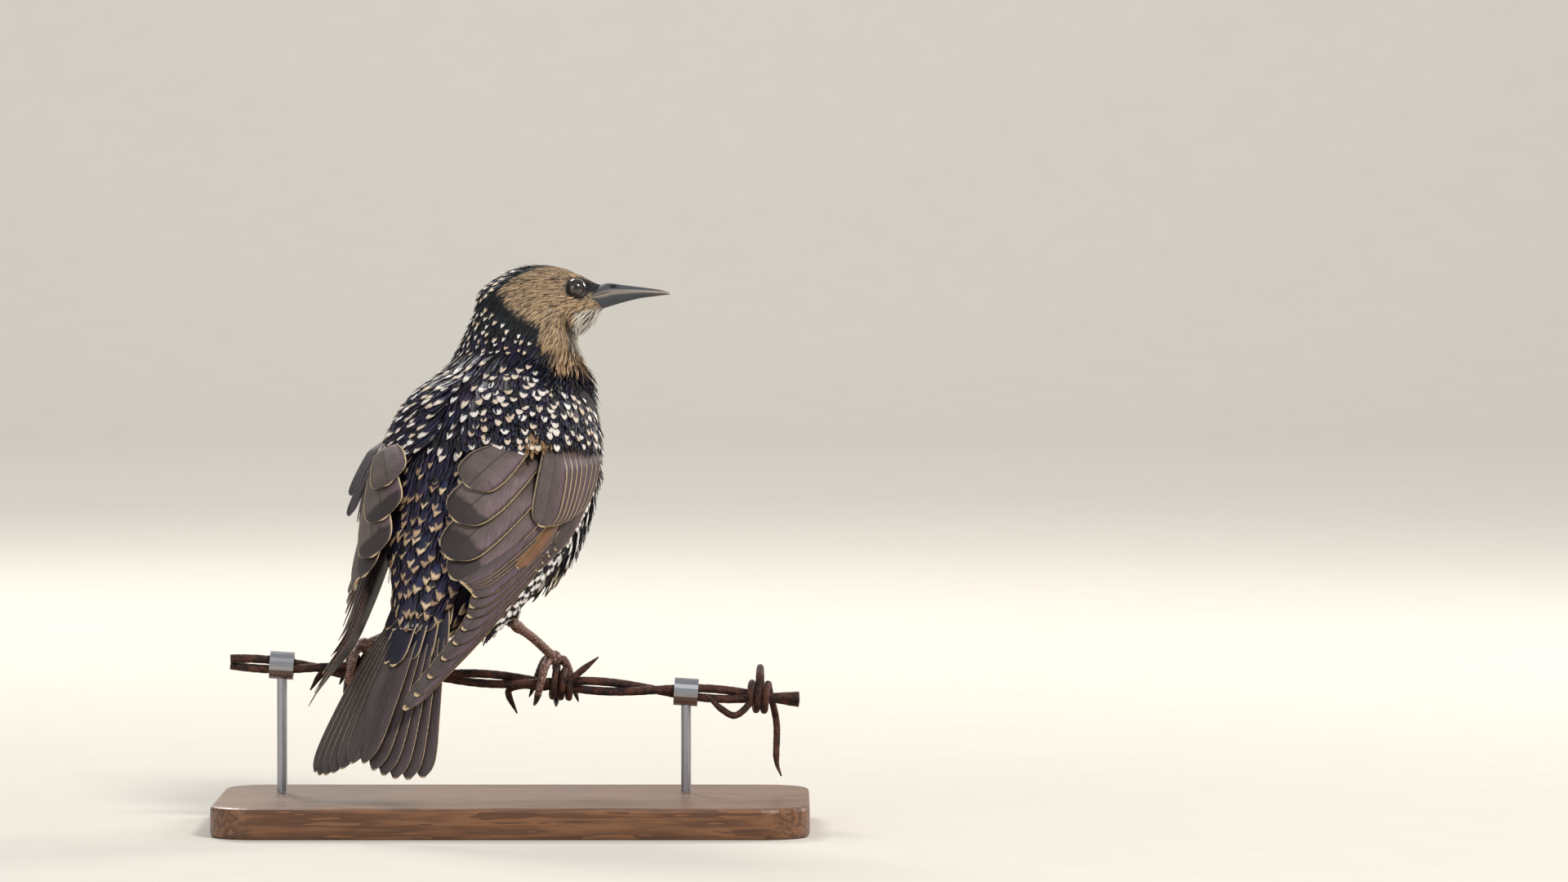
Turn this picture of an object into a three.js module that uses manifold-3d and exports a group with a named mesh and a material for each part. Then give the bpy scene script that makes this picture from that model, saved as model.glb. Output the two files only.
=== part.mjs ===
// A common starling in its first autumn moult, life size, perched on a short length of barbed wire
// that a plain display stand holds up. Millimetres, +Z up, +X along the wire, +Y the way the bird faces
// most. The origin is the centre of the underside of the stand's base.
import * as THREE from "three";
import { mergeVertices } from "three/addons/utils/BufferGeometryUtils.js";
import Module from "manifold-3d";

const wasm = await Module();
wasm.setup();

const DEG = Math.PI / 180;
const GAP = 0.3; // clearance between neighbouring solids

// Stand and perch
const BASE = { width: 172, depth: 96, height: 9, corner: 14, edge: 1.2 };
const ROD = { radius: 1.5, places: [-68, 50] };
const SADDLE = { length: 7, wall: 1.1 };
const WIRE = { y: 14, height: 41.8, slope: -0.066, strand: 1.25, pitch: 66, crossing: 40.5, half: 83 };
const BARB = { radius: 1.0, step: 2.35, turns: 2.5 };
const STRAND_ORBIT = WIRE.strand + GAP / 2;
const BUNDLE = STRAND_ORBIT + WIRE.strand; // outer radius of the two twisted strands

// Bird: where the middles of trunk and head are, and which way each points
const TRUNK = { middle: new THREE.Vector3(-10.7, 7, 100), heading: 32 * DEG, pitch: 50 * DEG };
const HEAD = { middle: new THREE.Vector3(6, 30, 153), heading: 86 * DEG, pitch: 1 * DEG };
const NECK = { inset: 0.8 };
const EYE = { radius: 3.0, along: 11.4, up: 2.9, out: 6.1, lid: 0.55 };
const TAIL = { root: [-1.5, -43, -1], heading: 35.5 * DEG, pitch: 57 * DEG, length: 55.5, drop: 4 };
const BILL = { from: 18.6, length: 20.6 };
const WING = { wrist: 33, armEnd: -16, tip: -84, away: 11, sink: 3.8 };
const THIGH = { inside: [13, -20, -14], upper: 10.5, lower: 3 };
const TARSUS = { radius: 1.35 };
const TOE = { radius: 1.35, claw: 0.95, pad: 2.2 };

// The unit vectors right, forward and up of something that points along a heading and a pitch.
function frameOf(heading, pitch) {
  const forward = new THREE.Vector3(
    Math.cos(pitch) * Math.sin(heading),
    Math.cos(pitch) * Math.cos(heading),
    Math.sin(pitch),
  );
  const right = new THREE.Vector3(Math.cos(heading), -Math.sin(heading), 0);
  return { right, forward, up: right.clone().cross(forward) };
}

function placeIn(frame, middle, x, y, z) {
  return middle
    .clone()
    .addScaledVector(frame.right, x)
    .addScaledVector(frame.forward, y)
    .addScaledVector(frame.up, z);
}

const trunkFrame = frameOf(TRUNK.heading, TRUNK.pitch);
const headFrame = frameOf(HEAD.heading, HEAD.pitch);
const tailFrame = frameOf(TAIL.heading, TAIL.pitch);
const inTrunk = (x, y, z) => placeIn(trunkFrame, TRUNK.middle, x, y, z);
const inHead = (x, y, z) => placeIn(headFrame, HEAD.middle, x, y, z);
const tailRoot = inTrunk(...TAIL.root);
const inTail = (x, y, z) => placeIn(tailFrame, tailRoot, x, y, z);

const range = (count) => Array.from({ length: count }, (_, i) => i);
const lerp = (a, b, t) => a + (b - a) * t;

// A smooth value between the rows of a table whose first column rises. Returns the other columns.
function between(table, x) {
  const last = table.length - 1;
  const i = Math.max(0, Math.min(last - 1, table.filter((row) => row[0] <= x).length - 1));
  const [a, b, c, d] = [Math.max(0, i - 1), i, i + 1, Math.min(last, i + 2)].map((k) => table[k]);
  const t = Math.max(0, Math.min(1, (x - b[0]) / (c[0] - b[0])));
  return b.slice(1).map((p, k) => {
    const q = c[k + 1];
    const m = ((q - a[k + 1]) / (c[0] - a[0])) * (c[0] - b[0]);
    const n = ((d[k + 1] - p) / (d[0] - b[0])) * (c[0] - b[0]);
    return p + t * (m + t * (3 * (q - p) - 2 * m - n + t * (2 * (p - q) + m + n)));
  });
}

// Solids

function solid(positions, triangles) {
  return new wasm.Manifold(
    new wasm.Mesh({
      numProp: 3,
      vertProperties: new Float32Array(positions.flatMap((p) => [p.x, p.y, p.z])),
      triVerts: new Uint32Array(triangles.flat()),
    }),
  );
}

// A closed solid through rings of points, whichever way round the rings run.
function skin(rings) {
  const count = rings[0].length;
  const middleOf = (ring) => ring.reduce((sum, p) => sum.add(p), new THREE.Vector3()).divideScalar(count);
  const points = [...rings.flat(), middleOf(rings[0]), middleOf(rings.at(-1))];
  const [first, last] = [points.length - 2, points.length - 1];
  const triangles = [];
  for (const i of range(count)) {
    const j = (i + 1) % count;
    for (const r of range(rings.length - 1)) {
      const [a, b] = [r * count, (r + 1) * count];
      triangles.push([a + i, a + j, b + j], [a + i, b + j, b + i]);
    }
    const end = (rings.length - 1) * count;
    triangles.push([first, j, i], [last, end + i, end + j]);
  }
  const made = solid(points, triangles);
  return made.volume() > 0 ? made : solid(points, triangles.map(([a, b, c]) => [a, c, b]));
}

const union = (solids) => solids.reduce((sum, next) => sum.add(next));
const largest = (made) => made.decompose().sort((a, b) => b.volume() - a.volume())[0];

// A three.js geometry as a solid.
function fromGeometry(geometry) {
  geometry.deleteAttribute("normal");
  geometry.deleteAttribute("uv");
  const merged = mergeVertices(geometry, 1e-4);
  const position = merged.getAttribute("position");
  const points = range(position.count).map((i) => new THREE.Vector3().fromBufferAttribute(position, i));
  const index = Array.from(merged.index.array);
  return solid(points, range(index.length / 3).map((i) => index.slice(3 * i, 3 * i + 3)));
}

// A round rod along a curve. radius may be a function of how far along it is, from 0 to 1.
function rod(curve, radius, steps, sides, flat = 1) {
  const radiusAt = typeof radius === "function" ? radius : () => radius;
  const frames = curve.computeFrenetFrames(steps, false);
  return skin(
    range(steps + 1).map((k) => {
      const t = k / steps;
      return range(sides).map((s) => {
        const turn = (2 * Math.PI * s) / sides;
        return curve
          .getPointAt(t)
          .addScaledVector(frames.normals[k], radiusAt(t) * Math.cos(turn))
          .addScaledVector(frames.binormals[k], flat * radiusAt(t) * Math.sin(turn));
      });
    }),
  );
}

const smooth = (points) => new THREE.CatmullRomCurve3(points, false, "centripetal");
const straight = (a, b) => new THREE.LineCurve3(a, b);

// Trunk and neck: distance along the trunk, height of the middle, half width, half height up and down
const TRUNK_FORM = [
  [-54, -4, 6, 4, 4],
  [-50, -3.5, 8, 6.5, 7],
  [-38, -2.5, 14.5, 11.5, 15],
  [-20, -1, 24, 16.5, 34],
  [0, 0, 29.3, 20.5, 41],
  [18, 0, 29.5, 22, 36],
  [30, 1, 26, 19.5, 29],
  [38, 2, 20.5, 15.5, 23],
  [43, 3, 13, 10, 14],
];

function ringOf(frame, middle, y, z, across, top, bottom, sides) {
  return range(sides).map((s) => {
    const a = (2 * Math.PI * (s + 0.5)) / sides;
    const high = Math.sin(a) > 0 ? top : bottom;
    return placeIn(frame, middle, across * Math.cos(a), y, z + high * Math.sin(a));
  });
}

function trunk(extra) {
  const [from, to] = [TRUNK_FORM[0][0] - extra, TRUNK_FORM.at(-1)[0] + extra];
  const steps = 20;
  return skin(
    range(steps + 1).map((k) => {
      const y = lerp(from, to, k / steps);
      const [z, across, top, bottom] = between(TRUNK_FORM, y);
      return ringOf(trunkFrame, TRUNK.middle, y, z, across + extra, top + extra, bottom + extra, 24);
    }),
  );
}

// The front of the trunk and the base of the neck, before the trunk closes
const NECK_FORM = [
  [30, 1, 26, 19.5, 28.5],
  [38, 2.5, 22.5, 16, 24.5],
  [44, 4, 19.3, 14.5, 20.5],
];

// Head: distance forward of its middle, half width, height of the crown and depth of the jaw
const HEAD_FORM = [
  [-18.6, 3, 1.5, -6],
  [-16.5, 6.6, 3.8, -9],
  [-12, 9.6, 7.3, -11],
  [-6, 10.8, 10, -12],
  [0, 11, 11.1, -12],
  [6, 10.6, 10.7, -11.8],
  [10, 9.5, 9.3, -11.2],
  [14, 7.7, 7.6, -10],
  [17.5, 5.6, 5.6, -7],
  [20, 3.9, 4.5, -3.8],
];

function headOf(extra) {
  const [from, to] = [HEAD_FORM[0][0] - extra, HEAD_FORM.at(-1)[0] + extra];
  const steps = 13;
  return skin(
    range(steps + 1).map((k) => {
      const y = lerp(from, to, k / steps);
      const [across, top, bottom] = between(HEAD_FORM, y);
      const half = (top - bottom) / 2 + extra;
      return ringOf(headFrame, HEAD.middle, y, (top + bottom) / 2, across + extra, half, half, 20);
    }),
  );
}

// Bill: distance from its base, half width, height of the ridge, of the mouth's line and of the underside
const BILL_FORM = [
  [0, 3.3, 4.5, 1.1, -3.4],
  [3, 2.9, 4.2, 1.75, -2.6],
  [7, 2.4, 3.6, 1.9, -1.5],
  [12, 1.8, 2.9, 1.8, -0.4],
  [16, 1.3, 2.3, 1.5, 0.05],
  [19, 0.8, 1.65, 1.2, 0.4],
  [20.6, 0.35, 1.05, 0.8, 0.5],
];

// One mandible. upper is 1 for the upper one and -1 for the lower one.
function mandible(upper) {
  const steps = 9;
  return skin(
    range(steps + 1).map((k) => {
      const y = (BILL.length * k) / steps;
      const [across, ridge, mouth, under] = between(BILL_FORM, y);
      const edge = mouth + (upper * GAP) / 2;
      const far = upper > 0 ? ridge : under;
      return range(8).map((s) => {
        const a = (Math.PI * s) / 7;
        const high = edge + (far - edge) * Math.sin(a) ** 0.8;
        return inHead(across * Math.cos(a), BILL.from + y, high);
      });
    }),
  );
}

const nostril = (side) =>
  rod(straight(inHead(side * 0.9, 22.6, 3.35), inHead(side * 4, 22.4, 4.4)), 0.55, 1, 8);

// Eyes and their lids
const eyeMiddle = (side) => inHead(side * EYE.out, EYE.along, EYE.up);

function ball(middle, radius, columns = 12, rows = 8) {
  const geometry = new THREE.SphereGeometry(radius, columns, rows);
  geometry.translate(middle.x, middle.y, middle.z);
  return fromGeometry(geometry);
}

function lidRing(side) {
  const geometry = new THREE.TorusGeometry(EYE.radius * 0.8, EYE.lid, 5, 15);
  geometry.lookAt(headFrame.right);
  const centre = inHead(side * (EYE.out + EYE.radius * 0.66), EYE.along, EYE.up);
  geometry.translate(centre.x, centre.y, centre.z);
  return fromGeometry(geometry);
}

// A slab far wider than the bird, through a point, facing along a direction.
function slab(point, normal, thickness) {
  const geometry = new THREE.BoxGeometry(200, 200, thickness);
  geometry.lookAt(normal);
  geometry.translate(point.x, point.y, point.z);
  return fromGeometry(geometry);
}

// Neck: wrapped round the lower back of the head and the front of the trunk.
function neck() {
  const shoulders = [34, 38, 43].flatMap((y) => {
    const [z, across, top, bottom] = between(NECK_FORM, y);
    return ringOf(trunkFrame, TRUNK.middle, y, z, across, top, bottom, 20);
  });
  const nape = [-15, -9, -3, 4].flatMap((y) => {
    const [across, top, bottom] = between(HEAD_FORM, y);
    const half = (top - bottom) / 2 - NECK.inset;
    return ringOf(headFrame, HEAD.middle, y, (top + bottom) / 2, across - NECK.inset, half, half, 16);
  });
  return wasm.Manifold.hull([...shoulders, ...nape].map((p) => p.toArray()));
}

// The outside of the folded right wing, as a tapering oval tube about the trunk:
// distance along the trunk, half width, half height, height of the middle, and the wing's two edges,
// as degrees round the tube from the back towards the right side
const WING_FORM = [
  [-84, 13.5, 10, -2.5, 56, 86],
  [-69, 16.5, 12, -3, 46, 100],
  [-55, 19.5, 14.5, -5, 36, 110],
  [-38, 25.3, 18, -5.6, 26, 113],
  [-18, 31.5, 23, -5, 24, 112],
  [-4, 34, 26, -4, 26, 106],
  [8, 34.5, 27, -3, 32, 102],
  [20, 33, 26, -2, 40, 100],
  [32, 28, 22, -1, 58, 98],
];

// A point of the wing's outside: side is 1 for the right wing and -1 for the left, out is the height over it.
// The left wing hangs a little away from the tail, the more so towards its tip.
function onWing(side, y, degrees, out) {
  const [across, high, middle] = between(WING_FORM, y);
  const turn = degrees * DEG;
  const hanging = side < 0 ? WING.away * ((WING.wrist - y) / (WING.wrist - WING.tip)) ** 1.8 : 0;
  return inTrunk(side * ((across + out) * Math.sin(turn) + hanging), y, middle + (high + out) * Math.cos(turn));
}

// The muscled arm and hand that the feathers grow from, as a thick sheet against the trunk.
function arm(side) {
  const steps = 6;
  const columns = 5;
  const order = range(columns + 1);
  return skin(
    range(steps + 1).map((k) => {
      const y = lerp(WING.wrist, WING.armEnd, k / steps);
      const [from, to] = between(WING_FORM, y).slice(3);
      const top = lerp(-0.8, -3.8, (k / steps) ** 1.5);
      const row = (out, places) => places.map((c) => onWing(side, y, lerp(from + 4, to - 2, c / columns), out));
      return [...row(top, order), ...row(-9, order.toReversed())];
    }),
  );
}

// Feathers. Along each one: how far from root to tip, and the width there as a share of the widest.
const VANE = [
  [0, 0.6],
  [0.4, 0.95],
  [0.76, 1],
  [0.93, 0.72],
  [1, 0.22],
];
const VANE_THICKNESS = 0.6;

// One feather as a closed strip through stations, each a share of its length. place gives the point at such a
// share and a distance sideways and up.
function vane(width, stations, place) {
  return skin(
    stations.map((t) => {
      const half = (width * between(VANE, t)[0]) / 2;
      return [place(t, -half, 0), place(t, 0, VANE_THICKNESS / 2), place(t, half, 0), place(t, 0, -VANE_THICKNESS / 2)];
    }),
  );
}

// Places along the trunk where every feather of the wing bends, so that those above one another bend alike.
const WING_BENDS = [18, 6, -6, -18, -30, -42, -54, -66, -76];

// A feather of the folded wing. root and tip are a place along the trunk and degrees round it.
function wingFeather(side, { root, tip, width, lift, tilt, rise = 0, hook = 1 }) {
  const length = root[0] - tip[0];
  const bends = WING_BENDS.map((y) => (root[0] - y) / length).filter((t) => t > 0.04 && t < 0.88);
  return vane(width, [0, ...bends, 0.93, 1], (t, aside, up) => {
    const y = root[0] - t * length;
    const degrees = lerp(root[1], tip[1], t ** hook);
    const [across, high] = between(WING_FORM, y);
    const perDegree = ((across + high) / 2) * DEG;
    const lean = t < 0.9 ? 0 : (aside * (tip[1] - root[1]) * perDegree) / length;
    const sunk = WING.sink * Math.max(0, 1 - t / 0.35);
    return onWing(side, y + lean, degrees + aside / perDegree, lift + rise * t - sunk + tilt * aside + up);
  });
}

// From the outermost, which lies lowest, to the innermost: tips as seen, roots spread along the hand and arm.
const PRIMARY_TIPS = [[-83, 66], [-77, 71], [-69, 73], [-61, 73], [-55, 71], [-50, 67], [-47, 62], [-43.5, 58]];
const SECONDARY_TIPS = [[-42.5, 55], [-42, 51], [-41.5, 47], [-41.5, 43]];
const TERTIALS = [
  { root: [0, 76], tip: [-41, 34], width: 12.5, lift: -1.5, tilt: 0.1 },
  { root: [-1, 62], tip: [-36, 25], width: 13, lift: -0.6, tilt: 0.1 },
  { root: [1, 52], tip: [-25.5, 21], width: 12.5, lift: 0.3, tilt: 0.1 },
  { root: [4, 43], tip: [-15.5, 22], width: 11.5, lift: 1.2, tilt: 0.1 },
];
const GREATER_COVERTS = [
  { root: [22, 90], tip: [-3, 98] },
  { root: [20, 83], tip: [-7, 93] },
  { root: [18, 77], tip: [-10, 89] },
  { root: [16, 70], tip: [-13, 84] },
  { root: [14, 64], tip: [-16, 79] },
  { root: [11, 57], tip: [-17.5, 72] },
];
const PRIMARY_COVERTS = [
  { root: [12, 99], tip: [-26, 95] },
  { root: [13, 98], tip: [-22, 96] },
  { root: [14, 97], tip: [-18, 97] },
];
const MEDIAN_COVERTS = [
  { root: [30, 87], tip: [12, 91] },
  { root: [28, 77], tip: [9, 81] },
  { root: [24, 67], tip: [6, 71] },
  { root: [20, 57], tip: [3, 61] },
];

const WING_FEATHERS = [
  ...PRIMARY_TIPS.map((tip, i) => ({
    root: [10 - i, 112 - 2.7 * i],
    tip,
    width: i === 0 ? 7.5 : 8.5,
    lift: -6 + 0.46 * i,
    rise: 4.4 - 0.38 * i,
    tilt: 0.3,
    hook: 3.9 - 0.35 * i,
  })),
  ...SECONDARY_TIPS.map((tip, i) => ({
    root: [2, 90 - 3 * i],
    tip,
    width: 9,
    lift: -2.7 + 0.3 * i,
    rise: 0.7,
    tilt: 0.2,
    hook: 1.25,
  })),
  ...TERTIALS,
  ...PRIMARY_COVERTS.map((one, i) => ({ ...one, width: 6.5, lift: -1.6 + 0.4 * i, tilt: 0.2 })),
  ...GREATER_COVERTS.map((one, i) => ({ ...one, width: 9, lift: -0.6 + 0.3 * i, tilt: 0.2 })),
  ...MEDIAN_COVERTS.map((one, i) => ({ ...one, width: 11, lift: 0.4 + 0.2 * i, tilt: 0.12 })),
];

const wing = (side) => union([arm(side), ...WING_FEATHERS.map((one) => wingFeather(side, one))]);

const TAIL_STATIONS = [0, 0.35, 0.7, 0.9, 0.96, 1];

// A feather of the tail. place counts from the middle pair, which lies on top, out to one side.
function tailFeather(side, place) {
  const root = side * (0.6 + 0.85 * place);
  const tip = side * (2.4 + 3.4 * place);
  const length = TAIL.length + [-1.5, 0, 1, 1.2, 0.6, -1.2][place];
  const top = side > 0 && place === 0 ? 0.45 : 0;
  return vane(8.6, TAIL_STATIONS, (t, aside, up) => {
    const x = lerp(root, tip, t ** 0.85) + aside;
    const share = (x * side) / 20;
    const high = top - 0.42 * place - TAIL.drop * t * share * Math.abs(share) + 0.16 * side * aside;
    return inTail(x, -t * length, high + up);
  });
}

// The coverts over the base of the tail.
function tailCovert(place) {
  const root = place * 2.1;
  const tip = place * 3.4;
  return vane(7.5, TAIL_STATIONS, (t, aside, up) => {
    const x = lerp(root, tip, t) + aside;
    const high = lerp(2.6, 1.4, t) - 0.35 * Math.abs(place) - 0.02 * x * x + (place > 0 ? 0.2 : 0);
    return inTail(x, 6 - t * (24 - 1.5 * Math.abs(place)), high + up);
  });
}

function tail() {
  const root = skin([8, -4, -13].map((y, k) => ringOf(tailFrame, tailRoot, y, -1.4, 8 + 2 * k, 2.4 - 0.4 * k, 2.2, 12)));
  const feathers = [1, -1].flatMap((side) => range(6).map((place) => tailFeather(side, place)));
  return union([root, ...feathers, ...[-3, -2, -1, 0, 1, 2, 3].map(tailCovert)]);
}

// Legs and feet
const wireHeight = (x) => WIRE.height + WIRE.slope * x;
const overCoil = BUNDLE + GAP + 2 * BARB.radius;
const FEET = [
  { name: "right", side: 1, x: 11.5, over: overCoil, ankle: new THREE.Vector3(0, -8, 60) },
  { name: "left", side: -1, x: -44, over: overCoil, ankle: new THREE.Vector3(-24, 3, 60) },
];
// Each toe: its shift along the wire at the knuckle and at the tip, and the angle that it reaches round the
// wire, from its top and away from the camera, at the knuckle, at the toe's end and at the claw's tip
const TOES = [
  { name: "hind", from: -1.5, to: -6, start: -8, end: -118, claw: -168 },
  { name: "inner", from: -2, to: -7.5, start: 10, end: 92, claw: 135 },
  { name: "middle", from: 0.5, to: 0.5, start: 10, end: 128, claw: 170 },
  { name: "outer", from: 2.5, to: 7, start: 10, end: 98, claw: 140 },
];

function roundWire(x, degrees, radius) {
  const turn = degrees * DEG;
  return new THREE.Vector3(x, WIRE.y + radius * Math.sin(turn), wireHeight(x) + radius * Math.cos(turn));
}

const padOf = (foot) => roundWire(foot.x, 0, foot.over + GAP + TOE.pad);

function toeCurve(foot, toe, from, to) {
  const radius = foot.over + 2 * GAP + TOE.radius;
  return smooth(
    range(9).map((k) => {
      const t = k / 8;
      const turn = lerp(from, to, t);
      const share = (turn - toe.start) / (toe.claw - toe.start);
      return roundWire(foot.x + lerp(toe.from, toe.to, share), turn, radius);
    }),
  );
}

function footOf(foot, extra = 0) {
  const toes = TOES.map((toe) =>
    rod(toeCurve(foot, toe, toe.start, toe.end), (t) => TOE.radius * (1 - 0.25 * t) + extra, 6, 7),
  );
  const pad = ball(padOf(foot), TOE.pad + extra, 10, 6);
  return union([pad, ...toes]);
}

function clawOf(foot, toe) {
  const start = lerp(toe.end, toe.claw, 0.06);
  const radius = (t) => TOE.claw * (1 - t) ** 0.7 + 0.12;
  return rod(toeCurve(foot, toe, start, toe.claw), radius, 5, 6);
}

function thighOf({ side, ankle }, extra = 0) {
  const [x, y, z] = THIGH.inside;
  const from = inTrunk(side * x, y, z);
  const end = ankle.clone().addScaledVector(ankle.clone().sub(from).normalize(), extra);
  const radius = (t) => extra + lerp(THIGH.upper, THIGH.lower, Math.sin((t * Math.PI) / 2));
  return rod(straight(from, end), radius, 5, 12);
}

// Starts a gap below the end of the thigh and ends on the foot's pad.
function tarsusOf(foot) {
  const pad = padOf(foot);
  const bend = foot.ankle.clone().lerp(pad, 0.5).add(new THREE.Vector3(0, -0.6, 0.6));
  const radius = (t) => TARSUS.radius * (1.25 - 0.25 * Math.sin(Math.PI * t));
  const shape = rod(smooth([foot.ankle, bend, pad]), radius, 5, 6);
  return shape.subtract(union([footOf(foot, GAP), thighOf(foot, GAP)]));
}

// Perch

function strand(phase) {
  const steps = 34;
  const points = range(steps + 1).map((k) => {
    const x = lerp(-WIRE.half, WIRE.half, k / steps);
    const turn = (360 * (x - WIRE.crossing)) / WIRE.pitch + phase;
    return roundWire(x, turn, STRAND_ORBIT);
  });
  return rod(smooth(points), WIRE.strand, steps, 7);
}

// A barb: a short wire wound round the strands, with a cut point at each end. Its ends are given as points
// from the coil's middle: along the wire, away from the camera, and up. loose lifts the top of one turn.
const UNDER_TOES = [[-6, 3.7, -1.4], [-11, 3.9, -0.8]];
const BARBS = [
  { name: "left", x: -45, start: 110, first: [...UNDER_TOES, [-15, 4.2, -6]], last: [[7, -4.5, -4]] },
  {
    name: "middle",
    x: 13.5,
    start: 110,
    first: [...UNDER_TOES, [-15.5, 4.5, -2.5], [-13, 4.5, -9]],
    last: [[11, -3, 8]],
  },
  {
    name: "right",
    x: 71.4,
    start: 240,
    loose: 5,
    first: [[-7, -4, -5.2], [-11, -4.8, -3.3], [-16, -4.6, 1.2]],
    last: [[5, 4.8, -8], [5, 4.8, -19], [6.4, 4, -23.5]],
  },
];

function barb({ x, start, first, last, loose = 0 }) {
  const perTurn = 8;
  const steps = Math.round(BARB.turns * perTurn);
  const coil = range(steps + 1).map((k) => {
    const turn = k / perTurn;
    const angle = start + 360 * turn;
    const lift = Math.abs(turn - 1.3) < 0.5 ? loose * Math.max(0, Math.cos(angle * DEG)) ** 2 : 0;
    return roundWire(x + (turn - BARB.turns / 2) * BARB.step, angle, BUNDLE + GAP + BARB.radius + lift);
  });
  const from = ([along, away, up]) => new THREE.Vector3(x + along, WIRE.y + away, wireHeight(x) + up);
  const path = smooth([...first.toReversed().map(from), ...coil, ...last.map(from)]);
  const cut = (t) => BARB.radius * Math.min(1, 0.25 + 14 * Math.min(t, 1 - t));
  return rod(path, cut, 36, 5);
}

// Stand

function standBase() {
  const { width, depth, height, corner, edge } = BASE;
  const [w, d] = [width / 2 - edge, depth / 2 - edge];
  const r = corner - edge;
  const shape = new THREE.Shape();
  shape.moveTo(w, d - r);
  shape.absarc(w - r, d - r, r, 0, Math.PI / 2);
  shape.absarc(r - w, d - r, r, Math.PI / 2, Math.PI);
  shape.absarc(r - w, r - d, r, Math.PI, 1.5 * Math.PI);
  shape.absarc(w - r, r - d, r, 1.5 * Math.PI, 2 * Math.PI);
  const geometry = new THREE.ExtrudeGeometry(shape, {
    depth: height - 2 * edge,
    bevelThickness: edge,
    bevelSize: edge,
    bevelSegments: 2,
    curveSegments: 4,
  });
  geometry.translate(0, 0, edge);
  return fromGeometry(geometry);
}

function standRod(x) {
  const bore = BUNDLE + GAP;
  const along = new THREE.Vector3(1, 0, WIRE.slope).normalize();
  const middle = roundWire(x, 0, 0);
  const end = (s, extra) => middle.clone().addScaledVector(along, (s * SADDLE.length) / 2 + s * extra);
  const tube = (radius, extra) => rod(straight(end(-1, extra), end(1, extra)), radius, 1, 20);
  const post = rod(
    straight(new THREE.Vector3(x, WIRE.y, BASE.height + GAP), new THREE.Vector3(x, WIRE.y, middle.z - bore - 0.4)),
    ROD.radius,
    1,
    14,
  );
  return union([tube(bore + SADDLE.wall, 0), post]).subtract(tube(bore, 1));
}

// Meshes

const model = new THREE.Group();
model.name = "starling_on_wire";

function add(name, made, color, roughness = 0.8, metalness = 0) {
  const { vertProperties, triVerts, numProp } = largest(made).getMesh();
  const geometry = new THREE.BufferGeometry();
  const positions = range(vertProperties.length / numProp).flatMap((i) => [
    ...vertProperties.subarray(i * numProp, i * numProp + 3),
  ]);
  geometry.setAttribute("position", new THREE.Float32BufferAttribute(positions, 3));
  geometry.setIndex(new THREE.BufferAttribute(triVerts.slice(), 1));
  geometry.computeVertexNormals();
  const mesh = new THREE.Mesh(geometry, new THREE.MeshStandardMaterial({ color, roughness, metalness }));
  mesh.name = name;
  model.add(mesh);
}

const COLOR = {
  torso: 0x2a2434,
  neck: 0x4a4038,
  head: 0xb08d62,
  wing: 0x5b524c,
  tail: 0x3c3a3a,
  bill: 0x4c5158,
  eye: 0x1c0f0a,
  thigh: 0x33303a,
  leg: 0x7a5548,
  claw: 0x2a2420,
  wire: 0x3a302c,
  base: 0x6b4a32,
  rod: 0x9a9a9c,
};

const bird = trunk(0);
const trunkClear = trunk(GAP);
const headClear = headOf(GAP);
const eyeRooms = [1, -1].map((side) => ball(eyeMiddle(side), EYE.radius + GAP));
const billRoom = rod(straight(inHead(0, BILL.from - 0.3, 0.5), inHead(0, BILL.from + 30, 0.5)), 6, 1, 12);
const lids = [1, -1].map(lidRing);

const flesh = union([trunkClear, ...FEET.map((foot) => thighOf(foot, GAP))]);

add("torso", bird, COLOR.torso);
add("neck", neck().subtract(trunkClear).subtract(headClear), COLOR.neck);
add("head", union([headOf(0), ...lids]).subtract(union([billRoom, ...eyeRooms])), COLOR.head);
add("bill_upper", mandible(1).subtract(union([nostril(1), nostril(-1)])), COLOR.bill, 0.5);
add("bill_lower", mandible(-1), COLOR.bill, 0.5);
for (const [name, side] of [["right", 1], ["left", -1]]) {
  add("eye_" + name, ball(eyeMiddle(side), EYE.radius), COLOR.eye, 0.1);
  add("wing_" + name, wing(side).subtract(flesh), COLOR.wing);
}
add("tail", tail().subtract(flesh), COLOR.tail);
for (const foot of FEET) {
  const { name } = foot;
  add("thigh_" + name, thighOf(foot).subtract(trunkClear), COLOR.thigh);
  add("foot_" + name, footOf(foot), COLOR.leg, 0.6);
  for (const toe of TOES) add(`claw_${name}_${toe.name}`, clawOf(foot, toe), COLOR.claw, 0.5);
  add("tarsus_" + name, tarsusOf(foot), COLOR.leg, 0.6);
}
add("wire_strand_1", strand(90), COLOR.wire, 0.7, 0.6);
add("wire_strand_2", strand(270), COLOR.wire, 0.7, 0.6);
for (const one of BARBS) add("wire_barb_" + one.name, barb(one), COLOR.wire, 0.7, 0.6);
add("stand_base", standBase(), COLOR.base, 0.6);
ROD.places.forEach((x, i) => add(["stand_rod_left", "stand_rod_right"][i], standRod(x), COLOR.rod, 0.35, 0.9));

export default model;
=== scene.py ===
"""A young starling on barbed wire: coat, bill, eyes, feet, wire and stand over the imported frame."""

import math

import bmesh
import bpy
import numpy as np
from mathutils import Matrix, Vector
from mathutils.bvhtree import BVHTree


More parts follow.
